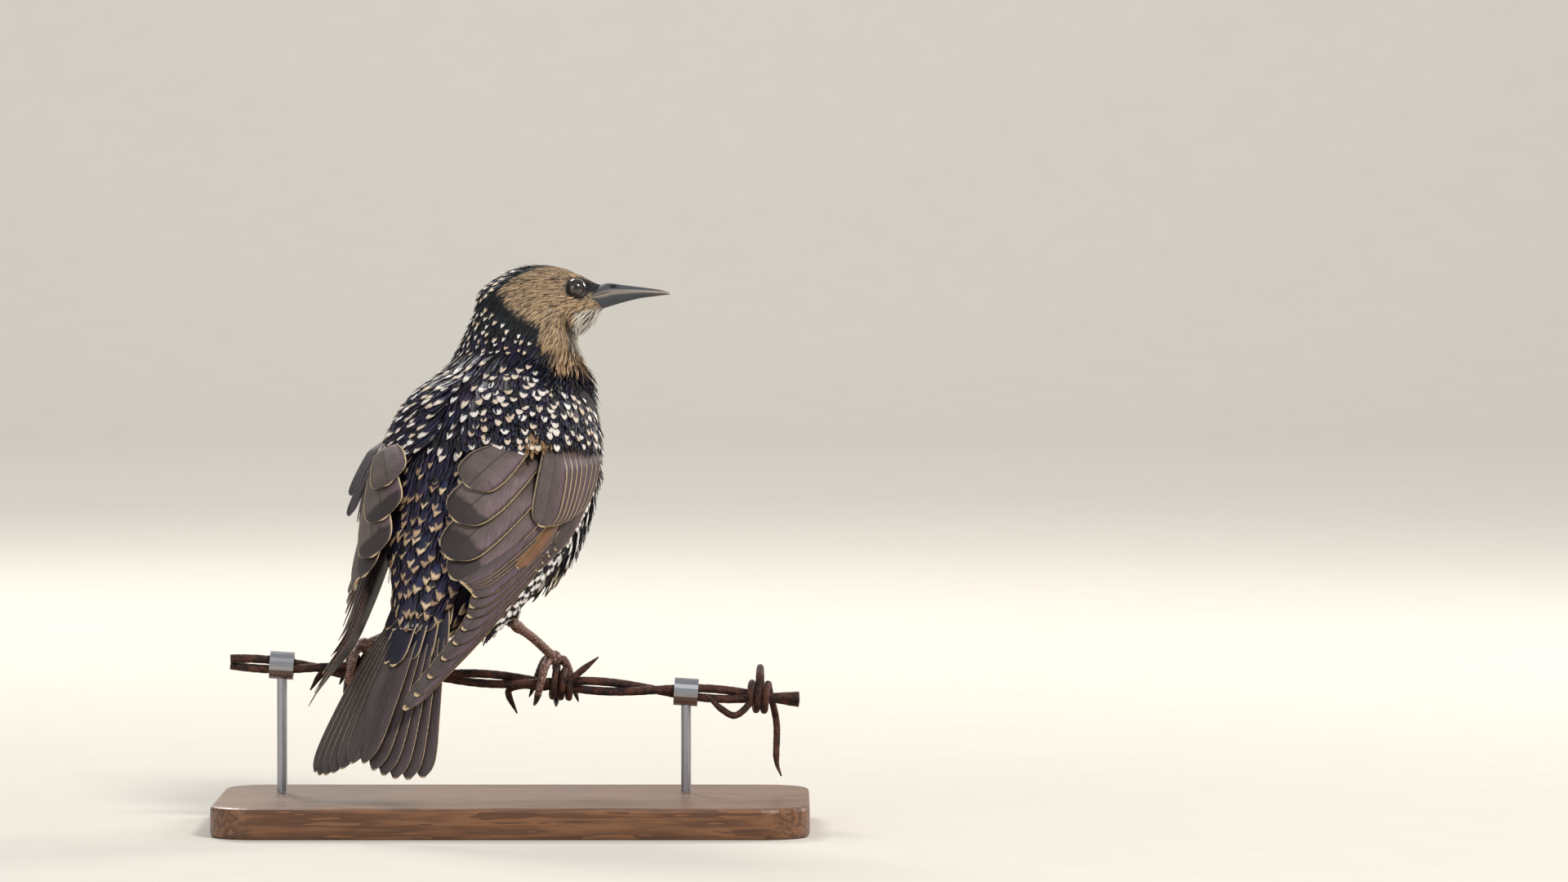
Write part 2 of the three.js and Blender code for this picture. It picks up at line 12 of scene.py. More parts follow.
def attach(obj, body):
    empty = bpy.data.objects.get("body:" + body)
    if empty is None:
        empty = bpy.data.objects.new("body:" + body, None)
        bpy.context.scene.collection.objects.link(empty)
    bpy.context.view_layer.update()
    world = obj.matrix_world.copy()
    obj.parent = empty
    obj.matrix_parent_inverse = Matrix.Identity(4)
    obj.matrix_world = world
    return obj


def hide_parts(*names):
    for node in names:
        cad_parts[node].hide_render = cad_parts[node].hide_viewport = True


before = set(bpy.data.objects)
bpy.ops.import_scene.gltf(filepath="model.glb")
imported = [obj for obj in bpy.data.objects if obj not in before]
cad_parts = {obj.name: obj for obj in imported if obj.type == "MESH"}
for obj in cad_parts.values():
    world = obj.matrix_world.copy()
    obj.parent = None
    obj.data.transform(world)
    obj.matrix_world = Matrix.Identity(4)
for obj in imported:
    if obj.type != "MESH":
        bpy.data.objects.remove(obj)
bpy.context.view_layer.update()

# Everything below is in millimetres, in the row frame, until a mesh is made.
MM = 0.001
random = np.random.default_rng(11)

WIRE = {"y": 14, "height": 41.8, "slope": -0.066, "strand": 1.25, "pitch": 66, "crossing": 40.5, "half": 83}
GAP = 0.3
STRAND_ORBIT = WIRE["strand"] + GAP / 2
BUNDLE = STRAND_ORBIT + WIRE["strand"]
BARB = {"radius": 1.0, "step": 2.35, "turns": 2.5}
COAT = {"grown": 0.35, "depth": 1.2}
BILL_FROM = 18.6
EYE = {"radius": 3.0, "along": 11.4, "up": 2.9, "out": 6.1}


def unit(v):
    return v / np.maximum(np.linalg.norm(v, axis=-1, keepdims=True), 1e-9)


class Place:
    """A part of the bird that points along a heading and a pitch, in degrees."""

    def __init__(self, middle, heading, pitch):
        h, p = math.radians(heading), math.radians(pitch)
        self.middle = np.array(middle, float)
        self.forward = np.array([math.cos(p) * math.sin(h), math.cos(p) * math.cos(h), math.sin(p)])
        self.right = np.array([math.cos(h), -math.sin(h), 0.0])
        self.up = np.cross(self.right, self.forward)

    def point(self, x, y, z):
        x, y, z = (np.asarray(v, float)[..., None] for v in (x, y, z))
        return self.middle + x * self.right + y * self.forward + z * self.up

    def inside(self, points):
        """The x, y and z of points in this part's own axes."""
        away = points - self.middle
        return away @ self.right, away @ self.forward, away @ self.up


TRUNK = Place((-10.7, 7, 100), 32, 50)
HEAD = Place((6, 30, 153), 86, 1)
TAIL = Place(TRUNK.point(-1.5, -43, -1), 35.5, 57)
TAIL_LENGTH = 55.5


def between(table, x):
    """Smooth values between the rows of a table whose first column rises, one array per further column."""
    table = np.asarray(table, float)
    x = np.asarray(x, float)
    last = len(table) - 1
    i = np.clip(np.searchsorted(table[:, 0], x, side="right") - 1, 0, last - 1)
    a, b, c, d = (table[np.clip(i + k, 0, last)] for k in (-1, 0, 1, 2))
    span = (c[..., :1] - b[..., :1])
    t = np.clip((x[..., None] - b[..., :1]) / span, 0, 1)
    p, q = b[..., 1:], c[..., 1:]
    m = (q - a[..., 1:]) / (c[..., :1] - a[..., :1]) * span
    n = (d[..., 1:] - p) / (d[..., :1] - b[..., :1]) * span
    made = p + t * (m + t * (3 * (q - p) - 2 * m - n + t * (2 * (p - q) + m + n)))
    return np.moveaxis(made, -1, 0)


def ease(x, low, high):
    t = np.clip((x - low) / (high - low), 0, 1)
    return t * t * (3 - 2 * t)


def colour(*rgb):
    """A linear colour from the usual 0 to 255 numbers."""
    c = np.array(rgb) / 255
    return np.where(c < 0.04045, c / 12.92, ((c + 0.055) / 1.055) ** 2.4)


# Meshes


def mesh_of(name, points, loops, sizes, material, slot, uv=None, attributes=None):
    """A piece from points in millimetres, the corners of its faces in a row, and how many each face has."""
    mesh = bpy.data.meshes.new(name)
    mesh.vertices.add(len(points))
    mesh.vertices.foreach_set("co", (np.asarray(points) * MM).astype(np.float32).ravel())
    mesh.loops.add(len(loops))
    mesh.loops.foreach_set("vertex_index", np.asarray(loops, np.int32))
    mesh.polygons.add(len(sizes))
    starts = np.cumsum(sizes) - sizes
    mesh.polygons.foreach_set("loop_start", starts.astype(np.int32))
    mesh.polygons.foreach_set("use_smooth", np.ones(len(sizes), bool))
    for key, (kind, values) in (attributes or {}).items():
        made = mesh.attributes.new(key, kind, "POINT")
        field = "color" if kind == "FLOAT_COLOR" else "vector"
        made.data.foreach_set(field, values.astype(np.float32).ravel())
    if uv is not None:
        layer = mesh.uv_layers.new(name="OFBake")
        layer.data.foreach_set("uv", uv.astype(np.float32).ravel())
    mesh.update(calc_edges=True)
    mesh.validate()
    piece = bpy.data.objects.new(name, mesh)
    bpy.context.scene.collection.objects.link(piece)
    mesh.materials.append(material)
    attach(piece, "root")
    return piece


def quads_of(steps, count, k, s):
    """The corners of the faces between rings, given each face's ring and its place round it."""
    here, ahead, after = k * count, (k + 1) % steps * count, (s + 1) % count
    return np.stack([here + s, here + after, ahead + after, ahead + s], -1).reshape(-1, 4)


def skin_of(rings):
    """Points, corners and face sizes of a closed form through rings of points."""
    rings = np.asarray(rings)
    steps, count, _ = rings.shape
    points = rings.reshape(-1, 3)
    k, s = np.meshgrid(np.arange(steps - 1), np.arange(count), indexing="ij")
    quads = quads_of(steps, count, k, s)
    first = np.arange(count)[::-1]
    last = (steps - 1) * count + np.arange(count)
    a, b, c = (points[quads[:, i]] for i in range(3))
    axis = rings.mean(1)[k].reshape(-1, 3)
    if np.einsum("ij,ij->i", np.cross(b - a, c - a), points[quads].mean(1) - axis).sum() < 0:
        quads, first, last = quads[:, ::-1], first[::-1], last[::-1]
    sizes = np.concatenate([np.full(len(quads), 4), [count, count]])
    return points, np.concatenate([quads.ravel(), first, last]), sizes


def joined(parts):
    """Several forms as one."""
    points, loops, sizes, count = [], [], [], 0
    for p, l, s in parts:
        points.append(p)
        loops.append(np.asarray(l) + count)
        sizes.append(s)
        count += len(p)
    return np.concatenate(points), np.concatenate(loops), np.concatenate(sizes)


def rod(path, radius, sides=14, flat=1.0):
    """A round rod along points. radius is a number or one for each point."""
    path = np.asarray(path, float)
    radius = np.broadcast_to(radius, len(path))
    ahead = unit(np.gradient(path, axis=0))
    side = np.cross(ahead[0], [0, 0, 1.0])
    if np.linalg.norm(side) < 0.1:
        side = np.cross(ahead[0], [0, 1.0, 0])
    rings = []
    turns = 2 * np.pi * np.arange(sides) / sides
    for p, d, r in zip(path, ahead, radius):
        side = unit(side - d * (side @ d))
        other = np.cross(d, side)
        rings.append(p + r * (np.cos(turns)[:, None] * side + flat * np.sin(turns)[:, None] * other))
    return skin_of(rings)


def curve_through(points, count):
    """A smooth curve through points, at evenly spaced places."""
    points = np.asarray(points, float)
    gaps = np.sqrt(np.linalg.norm(np.diff(points, axis=0), axis=1))
    at = np.concatenate([[0], np.cumsum(gaps)])
    fine = between(np.column_stack([at, points]), np.linspace(0, at[-1], 40 * len(points))).T
    steps = np.linalg.norm(np.diff(fine, axis=0), axis=1)
    along = np.concatenate([[0], np.cumsum(steps)])
    wanted = np.linspace(0, along[-1], count)
    return np.column_stack([np.interp(wanted, along, fine[:, k]) for k in range(3)])


# Materials


class Nodes:
    """A material's nodes, with short calls for the few kinds that this scene uses."""

    def __init__(self, name, **sockets):
        self.material = bpy.data.materials.new(name)
        self.material.use_nodes = True
        self.tree = self.material.node_tree
        self.shader = self.tree.nodes["Principled BSDF"]
        for key, value in sockets.items():
            self.put(self.shader.inputs[key.replace("_", " ")], value)

    def put(self, socket, value):
        if isinstance(value, bpy.types.NodeSocket):
            self.tree.links.new(value, socket)
        elif isinstance(value, (tuple, list, np.ndarray)):
            value = tuple(float(v) for v in value)
            socket.default_value = value + (1.0,) if socket.type == "RGBA" and len(value) == 3 else value
        else:
            socket.default_value = value

    def add(self, kind, inputs=None, **settings):
        node = self.tree.nodes.new("ShaderNode" + kind)
        for key, value in settings.items():
            setattr(node, key, value)
        for key, value in (inputs or {}).items():
            self.put(node.inputs[key], value)
        return node

    def math(self, operation, a, b=0.0, c=0.0):
        return self.add("Math", {0: a, 1: b, 2: c}, operation=operation).outputs[0]

    def plus(self, a, b):
        return self.math("ADD", a, b)

    def minus(self, a, b):
        return self.math("SUBTRACT", a, b)

    def times(self, a, b, more=None):
        """a times b, plus more where it is given."""
        return self.math("MULTIPLY", a, b) if more is None else self.math("MULTIPLY_ADD", a, b, more)

    def scaled(self, tint, factor):
        return self.add("VectorMath", {0: tint, "Scale": factor}, operation="SCALE").outputs[0]

    def step(self, value, low, high):
        """0 below low, 1 above high, and smooth between."""
        inputs = {"Value": value, "From Min": low, "From Max": high}
        return self.add("MapRange", inputs, interpolation_type="SMOOTHSTEP").outputs["Result"]

    def mix(self, share, a, b, blend="MIX"):
        node = self.add("Mix", {"Factor": share}, data_type="RGBA", blend_type=blend)
        self.put(node.inputs[6], a)
        self.put(node.inputs[7], b)
        return node.outputs[2]

    def noise(self, vector, scale, detail=3.0, roughness=0.55):
        inputs = {"Vector": vector, "Scale": scale, "Detail": detail, "Roughness": roughness}
        return self.add("TexNoise", inputs).outputs["Fac"]

    def place(self):
        return self.add("NewGeometry").outputs["Position"]

    def split(self, vector):
        return self.add("SeparateXYZ", {0: vector}).outputs

    def vector(self, x, y, z):
        return self.add("CombineXYZ", {"X": x, "Y": y, "Z": z}).outputs[0]

    def stretched(self, x, y, z):
        """The place in metres, drawn out by a factor along each axis."""
        parts = self.split(self.place())
        return self.vector(*(self.times(part, factor) for part, factor in zip(parts, (x, y, z))))

    def carried(self, name):
        """The colour and the fourth number that each vertex carries under a name."""
        node = self.add("Attribute", attribute_name=name)
        return node.outputs["Color"], node.outputs["Alpha"]

    def numbers(self, name):
        """The three numbers that each vertex carries under a name."""
        return self.split(self.add("Attribute", attribute_name=name).outputs["Vector"])

    def bump(self, height, strength, distance):
        node = self.add("Bump", {"Height": height, "Strength": strength, "Distance": distance})
        self.tree.links.new(node.outputs[0], self.shader.inputs["Normal"])

    def finish(self, base, roughness=None):
        self.put(self.shader.inputs["Base Color"], base)
        if roughness is not None:
            self.put(self.shader.inputs["Roughness"], roughness)
        return self.material


def coat_material(name, barbs):
    """Small feathers: their own ground colour, a spot or fringe at the tip, and fine barbs."""
    n = Nodes(name, Specular_IOR_Level=0.45)
    aside, along, pick = n.numbers("lie")
    ground, gloss = n.carried("ground")
    mark, size = n.carried("mark")
    wide = n.math("ABSOLUTE", aside)
    across = n.minus(n.times(along, barbs), n.times(wide, 0.45 * barbs))
    barb = n.noise(n.vector(across, n.times(aside, 1.5), n.times(pick, 91.0)), 1.6)
    rough_edge = n.times(n.minus(barb, 0.5), 0.3)
    reach = n.plus(n.plus(along, rough_edge), n.times(n.times(wide, wide), 0.08))
    past_start = n.minus(reach, n.minus(1.0, size))
    spot = n.times(n.step(past_start, 0.0, 0.07), n.step(size, 0.01, 0.03))
    dark = n.scaled(ground, n.times(barb, 1.1, 0.42))
    pale = n.scaled(mark, n.times(barb, 0.55, 0.7))
    n.bump(barb, 0.35, 0.00025)
    return n.finish(n.mix(spot, dark, pale), n.times(gloss, -0.35, 0.78))


def vane_material(name):
    """Large feathers: a pale edge, a dark band before the tip where there is one, a shaft, fine barbs, and a
    painted purplish sheen over one web.
    """
    n = Nodes(name, Specular_IOR_Level=0.4)
    aside, along, pick = n.numbers("lie")
    edge, band, tip = n.numbers("rim")
    ground, gloss = n.carried("ground")
    edge_colour, _ = n.carried("mark")
    wide = n.math("ABSOLUTE", aside)
    slant = n.minus(n.times(along, 60.0), n.times(wide, 16.0))
    barb = n.noise(n.vector(slant, n.times(aside, 2.0), n.times(pick, 91.0)), 1.4, 4.0, 0.7)
    cloud = n.noise(n.vector(n.times(along, 5.0), n.times(aside, 1.2), n.times(pick, 37.0)), 1.3, 2.0)
    jagged = n.times(n.minus(barb, 0.5), 0.06)
    from_side = n.minus(1.0, n.plus(wide, jagged))
    from_tip = n.times(n.minus(1.0, n.plus(along, jagged)), tip)
    inside = n.math("MINIMUM", from_side, from_tip)
    pale = n.minus(1.0, n.step(n.math("DIVIDE", inside, edge), 0.7, 1.25))
    dark = n.minus(1.0, n.step(n.math("DIVIDE", inside, n.times(edge, 3.2)), 0.5, 1.1))
    banded = n.times(n.step(n.times(cloud, 0.16, along), 0.84, 0.9), band)
    shaft = n.minus(1.0, n.step(wide, 0.02, 0.06))
    plain = n.scaled(ground, n.times(barb, 0.9, n.times(cloud, 0.9, 0.1)))
    # painted sheen: a purplish highlight laid into the colour over one web, as strong as the feather's gloss
    # number
    shine = n.times(n.times(n.step(aside, 0.15, 0.75), n.step(barb, 0.42, 0.62)), gloss)
    sheen = n.mix(shine, plain, colour(146, 106, 138))
    shade = n.times(n.math("MAXIMUM", banded, n.times(dark, 0.5)), 0.85)
    shaded = n.mix(shade, sheen, colour(34, 26, 24))
    lined = n.mix(n.times(shaft, 0.6), shaded, colour(44, 34, 30))
    n.bump(barb, 0.55, 0.0003)
    return n.finish(n.mix(pale, lined, edge_colour), 0.5)


def skin_material():
    n = Nodes("skin_under_feathers", Roughness=0.8)
    fine = n.noise(n.place(), 900.0, 4.0)
    ground, _ = n.carried("ground")
    n.bump(fine, 0.4, 0.0004)
    return n.finish(n.scaled(ground, n.times(fine, 0.8, 0.3)))


def mottled(name, low, high, scale, roughness, bump):
    """A plain material whose colour, gloss and height vary with one noise."""
    n = Nodes(name)
    spots = n.noise(n.place(), scale, 4.0, 0.6)
    fine = n.noise(n.place(), scale * 5, 3.0, 0.6)
    n.bump(n.plus(spots, n.times(fine, 0.4)), bump, 0.0004)
    return n.finish(n.mix(n.step(spots, 0.35, 0.65), low, high), n.times(fine, 0.25, roughness - 0.12))


def scaly_material():
    """Legs and toes: overlapping scutes with darker joints."""
    n = Nodes("scaly_leg", Specular_IOR_Level=0.5)
    cells = n.add("TexVoronoi", {"Vector": n.place(), "Scale": 900.0}, feature="DISTANCE_TO_EDGE")
    joint = n.step(cells.outputs["Distance"], 0.02, 0.16)
    scute = n.mix(n.noise(n.place(), 1500.0), colour(122, 88, 76), colour(170, 128, 110))
    n.bump(joint, 0.5, 0.0003)
    return n.finish(n.mix(joint, colour(66, 44, 38), scute), 0.5)


def bill_material():
    """Horn: grey-black, paler along the cutting edges, browner at the tip, and painted black shade in the
    shallow nostrils.
    """
    n = Nodes("bill_horn", Specular_IOR_Level=0.4)
    round_it, along, nostril = n.numbers("lie")
    streak = n.noise(n.vector(n.times(along, 3.0), n.times(round_it, 14.0), 0.0), 2.2, 4.0, 0.65)
    fine = n.noise(n.place(), 1800.0)
    dark = n.mix(streak, colour(30, 31, 35), colour(90, 92, 97))
    edge = n.minus(1.0, n.step(round_it, 0.05, 0.24))
    paler = n.mix(n.times(edge, 0.6), dark, colour(160, 146, 130))
    tipped = n.mix(n.times(n.step(along, 0.62, 1.0), 0.6), paler, colour(120, 92, 66))
    # painted shade: near black in the nostril dents, for the dark inside the holes
    nostril_shaded = n.mix(n.step(nostril, 0.25, 0.5), tipped, colour(8, 7, 8))
    n.bump(n.plus(streak, n.times(fine, 0.5)), 0.3, 0.0003)
    return n.finish(nostril_shaded, n.times(fine, 0.25, 0.46))


def eye_material(side):
    """A dark brown iris round a black pupil, wet."""
    wet = {"Roughness": 0.04, "Coat_Weight": 1.0, "Coat_Roughness": 0.02, "Specular_IOR_Level": 0.6}
    n = Nodes(f"eye_{side}", **wet)
    radius, turn, _ = n.numbers("lie")
    rays = n.noise(n.vector(n.times(turn, 9.0), n.times(radius, 2.0), 0.0), 3.0)
    iris = n.mix(rays, colour(34, 15, 9), colour(72, 34, 20))
    inner = n.mix(n.step(radius, 0.34, 0.4), colour(4, 3, 4), iris)
    return n.finish(n.mix(n.step(radius, 0.6, 0.68), inner, colour(10, 6, 5)))


def wire_material():
    """Old wire: dark brown rust with paler, drier patches."""
    n = Nodes("rusty_wire", Metallic=0.35, Specular_IOR_Level=0.4)
    patch = n.noise(n.place(), 320.0, 5.0, 0.65)
    grit = n.noise(n.place(), 2600.0, 4.0, 0.7)
    rust = n.mix(n.step(patch, 0.38, 0.66), colour(38, 28, 28), colour(96, 58, 44))
    dry = n.mix(n.step(grit, 0.56, 0.7), rust, colour(146, 104, 82))
    n.bump(n.plus(patch, n.times(grit, 0.7)), 0.8, 0.0005)
    return n.finish(dry, n.times(grit, 0.3, 0.45))


def wood_material():
    n = Nodes("oiled_wood", Specular_IOR_Level=0.45, Coat_Weight=0.15, Coat_Roughness=0.35)
    rings = n.math("FRACT", n.times(n.noise(n.stretched(6.0, 60.0, 60.0), 1.6, 4.0, 0.6), 9.0))
    pores = n.noise(n.stretched(60.0, 1400.0, 1400.0), 1.0, 2.0)
    figure = n.mix(n.step(rings, 0.1, 0.9), colour(92, 58, 34), colour(128, 86, 54))
    n.bump(n.plus(rings, pores), 0.15, 0.0002)
    base = n.mix(n.times(n.step(pores, 0.58, 0.7), 0.5), figure, colour(58, 36, 22))
    return n.finish(base, n.times(pores, 0.2, 0.32))


def steel_material():
    n = Nodes("brushed_steel", Metallic=1.0)
    brushed = n.noise(n.stretched(200.0, 200.0, 6000.0), 1.0)
    n.bump(brushed, 0.1, 0.0001)
    return n.finish(n.mix(brushed, colour(150, 150, 152), colour(190, 190, 192)), n.times(brushed, 0.2, 0.22))


# Markings. Each zone of small feathers: the spacing of its marked and its plain feathers, and their size.
ZONES = {
    "face": {"spot": 0, "fill": 0.48, "length": 5.0, "width": 0.3, "depth": 0.6},
    "throat": {"spot": 0, "fill": 0.6, "length": 5.6, "width": 0.5, "depth": 2.3},
    "nape": {"spot": 2.1, "fill": 0.8, "length": 4.6, "width": 0.7, "depth": 0.9},
    "collar": {"spot": 0, "fill": 0.75, "length": 8.0, "width": 0.6, "depth": 3.6},
    "mantle": {"spot": 3.6, "fill": 1.15, "length": 8.0, "width": 1.0, "depth": 1.3},
    "rump": {"spot": 3.0, "fill": 1.3, "length": 8.0, "width": 1.3, "depth": 1.4},
    "breast": {"spot": 3.3, "fill": 1.25, "length": 8.5, "width": 1.1, "depth": 2.8},
    "vent": {"spot": 3.4, "fill": 1.4, "length": 10.0, "width": 1.4, "depth": 2.6},
    "thigh": {"spot": 0, "fill": 0.9, "length": 5.5, "width": 0.8, "depth": 0.9},
}
MARKED_WIDTH = {"nape": 1.3, "mantle": 2.4, "rump": 3.3, "breast": 3.4, "vent": 3.6}
ZONE_NAMES = list(ZONES)
BUFF, DUSK = colour(212, 180, 140), colour(70, 52, 42)
# VIOLET, BLUE and GREEN are painted sheen: the plumage's iridescent gloss, laid at random into the ground
# colour of some feathers
BLACK, VIOLET, BLUE, GREEN = colour(16, 14, 18), colour(46, 26, 60), colour(30, 38, 72), colour(18, 38, 42)
CREAM, WHITE, TAN = colour(228, 202, 164), colour(244, 240, 234), colour(206, 174, 132)

# Where the brown face ends towards the nape: height over the middle of the head and how far forward
FACE_BACK = np.array([
    [-16, 2], [-12, -1.5], [-9, 0], [-6, -5.5], [-2, -10], [2, -12.5], [6, -8], [9, -1], [10.2, 5], [12, 9],
])


def zones_at(points):
    """The number of the zone that each point is in."""
    hx, hy, hz = HEAD.inside(points)
    tx, ty, tz = TRUNK.inside(points)
    round_back = np.degrees(np.arctan2(np.abs(tx), tz))
    zone = np.full(len(points), ZONE_NAMES.index("mantle"))

    def put(name, where):
        zone[where] = ZONE_NAMES.index(name)

    put("breast", (round_back > 96) & (ty > -30))
    sides = 92 + 40 * ease(ty, -34, -46)
    put("rump", (round_back <= sides) & (ty < -8))
    put("vent", (round_back > sides) & (ty <= -30))
    put("nape", ty > 39 + 0.04 * (round_back - 60))
    put("collar", (hz < -12) & (hz > -25) & (hy > -1 + 0.2 * (-12 - hz)) & (ty > 27))
    on_face = hy > np.interp(hz, FACE_BACK[:, 0], FACE_BACK[:, 1])
    put("face", on_face & (hz > -14.5) & (ty > 38))
    put("throat", (hy > 8.5) & (hz < -3.2 - 0.25 * (np.abs(hx) - 3)) & (hz > -18) & (ty > 36))
    for side in (1, -1):
        near = np.linalg.norm(points - TRUNK.point(side * 13, -20, -14), axis=1)
        below = points[:, 2] < 76
        legs = below & (near < 26) & (round_back > 75) & (ty > -30)
        put("thigh", legs & (zone != ZONE_NAMES.index("rump")))
    return zone


def blend(a, b, t):
    return a + (b - a) * np.clip(t, 0, 1)


def face_colour(points, t, u):
    """Buff with dark streaks, black before and round the eye, and a few pale tips over the ear."""
    _, hy, hz = HEAD.inside(points)
    dusky = 0.4 * ease(hz, 2, -6) * ease(hy, 12, 4) + 0.3 * ease(hz, 5, 10) + 0.25 * ease(hy, -6, -12)
    streak = ease(t, 0.64 - 0.35 * dusky[:, None], 0.86)
    tone = blend(BUFF, DUSK, streak * 0.9) * (0.8 + 0.4 * u)
    from_eye = np.hypot(hy - EYE["along"], hz - EYE["up"])
    lore = ease(hy, 12.8, 14.5) * ease(np.abs(hz - 3.6), 2.6, 1.6)
    tone = blend(tone, BLACK, np.maximum(lore, ease(from_eye, 3.9, 3.2))[:, None])
    tone[(np.hypot(hy - 3.5, hz + 4.5) < 2.2) & (u[:, 0] > 0.93)] = WHITE * 0.8
    return tone


def colours_at(points, zone, marked):
    """Ground colour with gloss, and mark colour with size, for feathers whose tips are at points."""
    count = len(points)
    ground = np.zeros((count, 4))
    mark = np.zeros((count, 4))
    luck = random.random(count)[:, None]
    other = random.random(count)[:, None]
    for k, name in enumerate(ZONE_NAMES):
        here = zone == k
        t, u = luck[here], other[here]
        pale, size = BLACK, 0
        if name == "face":
            dark, gloss = face_colour(points[here], t, u), 0.25
        elif name == "throat":
            dark, gloss = blend(colour(238, 230, 216), DUSK, (t > 0.76) * 0.9), 0.1
        elif name == "collar":
            dark, gloss = blend(colour(202, 168, 126), DUSK, t**3), 0.15
        elif name == "nape":
            dark, gloss = blend(BLACK, GREEN, 0.5 * t), 0.8
            # painted green sheen on some feathers
            pale, size = blend(CREAM, WHITE, u), 0.26 + 0.1 * t
        elif name == "mantle":
            # painted sheen in violet, blue and green on some feathers
            tint = blend(blend(VIOLET, BLUE, (u - 0.25) * 2), GREEN, (u - 0.8) * 2)
            dark, gloss = blend(BLACK, tint, 1.3 * t - 0.3), 1.0
            pale, size = blend(TAN, WHITE, 0.2 + 0.8 * u), 0.22 + 0.1 * t
        elif name == "rump":
            # painted violet and blue sheen on some feathers
            dark, gloss = blend(BLACK, blend(VIOLET, BLUE, u), 1.1 * t), 0.9
            pale, size = blend(colour(166, 136, 104), CREAM, u**1.5), 0.2 + 0.07 * t
        elif name == "breast":
            upper = ease(TRUNK.inside(points[here])[1], 24, 40)[:, None]
            # painted violet sheen on some feathers
            dark = blend(blend(BLACK, VIOLET, 0.4 * t), colour(120, 88, 62), upper * 0.7 * u)
            gloss = 0.6
            pale, size = blend(WHITE, CREAM, upper * u), 0.34 + 0.08 * t
        else:
            dark, gloss = blend(BLACK, colour(70, 60, 58), t), 0.4
            pale, size = blend(WHITE, CREAM, u), 0.36
        ground[here, :3], ground[here, 3:] = dark, gloss
        mark[here, :3], mark[here, 3:] = pale, size
    mark[~marked, 3] = 0
    return ground, mark


# Skin: the solids of the flesh grown into one another, smoothed, and set back by the coat's depth

FLESH = ["torso", "neck", "head", "thigh_right", "thigh_left"]
# Place along the head, half width, top and bottom
HEAD_FRONT = [
    [10, 9.5, 9.3, -11.2],
    [14, 7.7, 7.6, -10],
    [17.5, 5.3, 6, -7.4],
    [20, 3.9, 5.3, -5.0],
    [21.5, 3.0, 4.9, -4.2],
]


def make_skin():
    made = bmesh.new()
    for name in FLESH:
        part = bmesh.new()
        part.from_mesh(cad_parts[name].data)
        bmesh.ops.remove_doubles(part, verts=part.verts, dist=1e-6)
        part.normal_update()
        for v in part.verts:
            v.co += v.normal * COAT["grown"] * MM
        mesh = bpy.data.meshes.new("part")
        part.to_mesh(mesh)
        part.free()
        made.from_mesh(mesh)
        bpy.data.meshes.remove(mesh)
    # the front of the head, which the solids leave open for the bill
    steps = np.linspace(HEAD_FRONT[0][0], HEAD_FRONT[-1][0], 9)
    across, top, bottom = between(HEAD_FRONT, steps)
    turns = 2 * np.pi * np.arange(24) / 24
    rings = [
        HEAD.point(a * np.cos(turns), np.full(24, y), (t + b) / 2 + (t - b) / 2 * np.sin(turns))
        for y, a, t, b in zip(steps, across, top, bottom)
    ]
    points, loops, sizes = skin_of(rings)
    verts = [made.verts.new(Vector(p) * MM) for p in points]
    at = 0
    for size in sizes:
        made.faces.new([verts[i] for i in loops[at:at + size]])
        at += size
    mesh = bpy.data.meshes.new("skin")
    made.to_mesh(mesh)
    made.free()
    skin = bpy.data.objects.new("skin", mesh)
    bpy.context.scene.collection.objects.link(skin)
    remesh = skin.modifiers.new("one", "REMESH")
    remesh.mode = "VOXEL"
    remesh.voxel_size = 0.9 * MM
    relax = skin.modifiers.new("relax", "SMOOTH")
    relax.factor = 0.5
    relax.iterations = 10
    inward = skin.modifiers.new("inward", "DISPLACE")
    inward.mid_level = 0
    inward.strength = -(COAT["depth"] + COAT["grown"]) * MM
    again = skin.modifiers.new("again", "SMOOTH")
    again.factor = 0.5
    again.iterations = 4
    bpy.context.view_layer.update()
    graph = bpy.context.evaluated_depsgraph_get()
    done = bpy.data.meshes.new_from_object(skin.evaluated_get(graph))
    skin.modifiers.clear()
    skin.data = done
    done.polygons.foreach_set("use_smooth", np.ones(len(done.polygons), bool))
    return skin


skin = make_skin()
bpy.context.view_layer.objects.active = skin
skin.select_set(True)
skin.data.uv_layers.new(name="OFBake")
bpy.ops.object.mode_set(mode="EDIT")
bpy.ops.mesh.select_all(action="SELECT")
bpy.ops.uv.smart_project(angle_limit=1.15, island_margin=0.004)
bpy.ops.object.mode_set(mode="OBJECT")
skin.select_set(False)

SKIN_POINTS = np.zeros(len(skin.data.vertices) * 3)
skin.data.vertices.foreach_get("co", SKIN_POINTS)
SKIN_POINTS = SKIN_POINTS.reshape(-1, 3) / MM
SKIN_NORMALS = np.array([v.normal for v in skin.data.vertices])
SKIN_FACES = [tuple(p.vertices) for p in skin.data.polygons]
SKIN_TREE = BVHTree.FromPolygons([Vector(p) for p in SKIN_POINTS], SKIN_FACES)
FACE_NORMALS = unit(np.array([SKIN_NORMALS[list(f)].mean(0) for f in SKIN_FACES]))
corner_uvs = np.zeros(len(skin.data.loops) * 2)
skin.data.uv_layers["OFBake"].data.foreach_get("uv", corner_uvs)
corner_uvs = corner_uvs.reshape(-1, 2)
spans = [slice(p.loop_start, p.loop_start + p.loop_total) for p in skin.data.polygons]
FACE_UVS = np.array([corner_uvs[span].mean(0) for span in spans])
# Each small feather's share of the unwrapped skin
PATCH = 0.003
FACE_AREAS = np.array([p.area for p in skin.data.polygons]) / MM**2
FACE_MIDDLES = np.array([SKIN_POINTS[list(f)].mean(0) for f in SKIN_FACES])

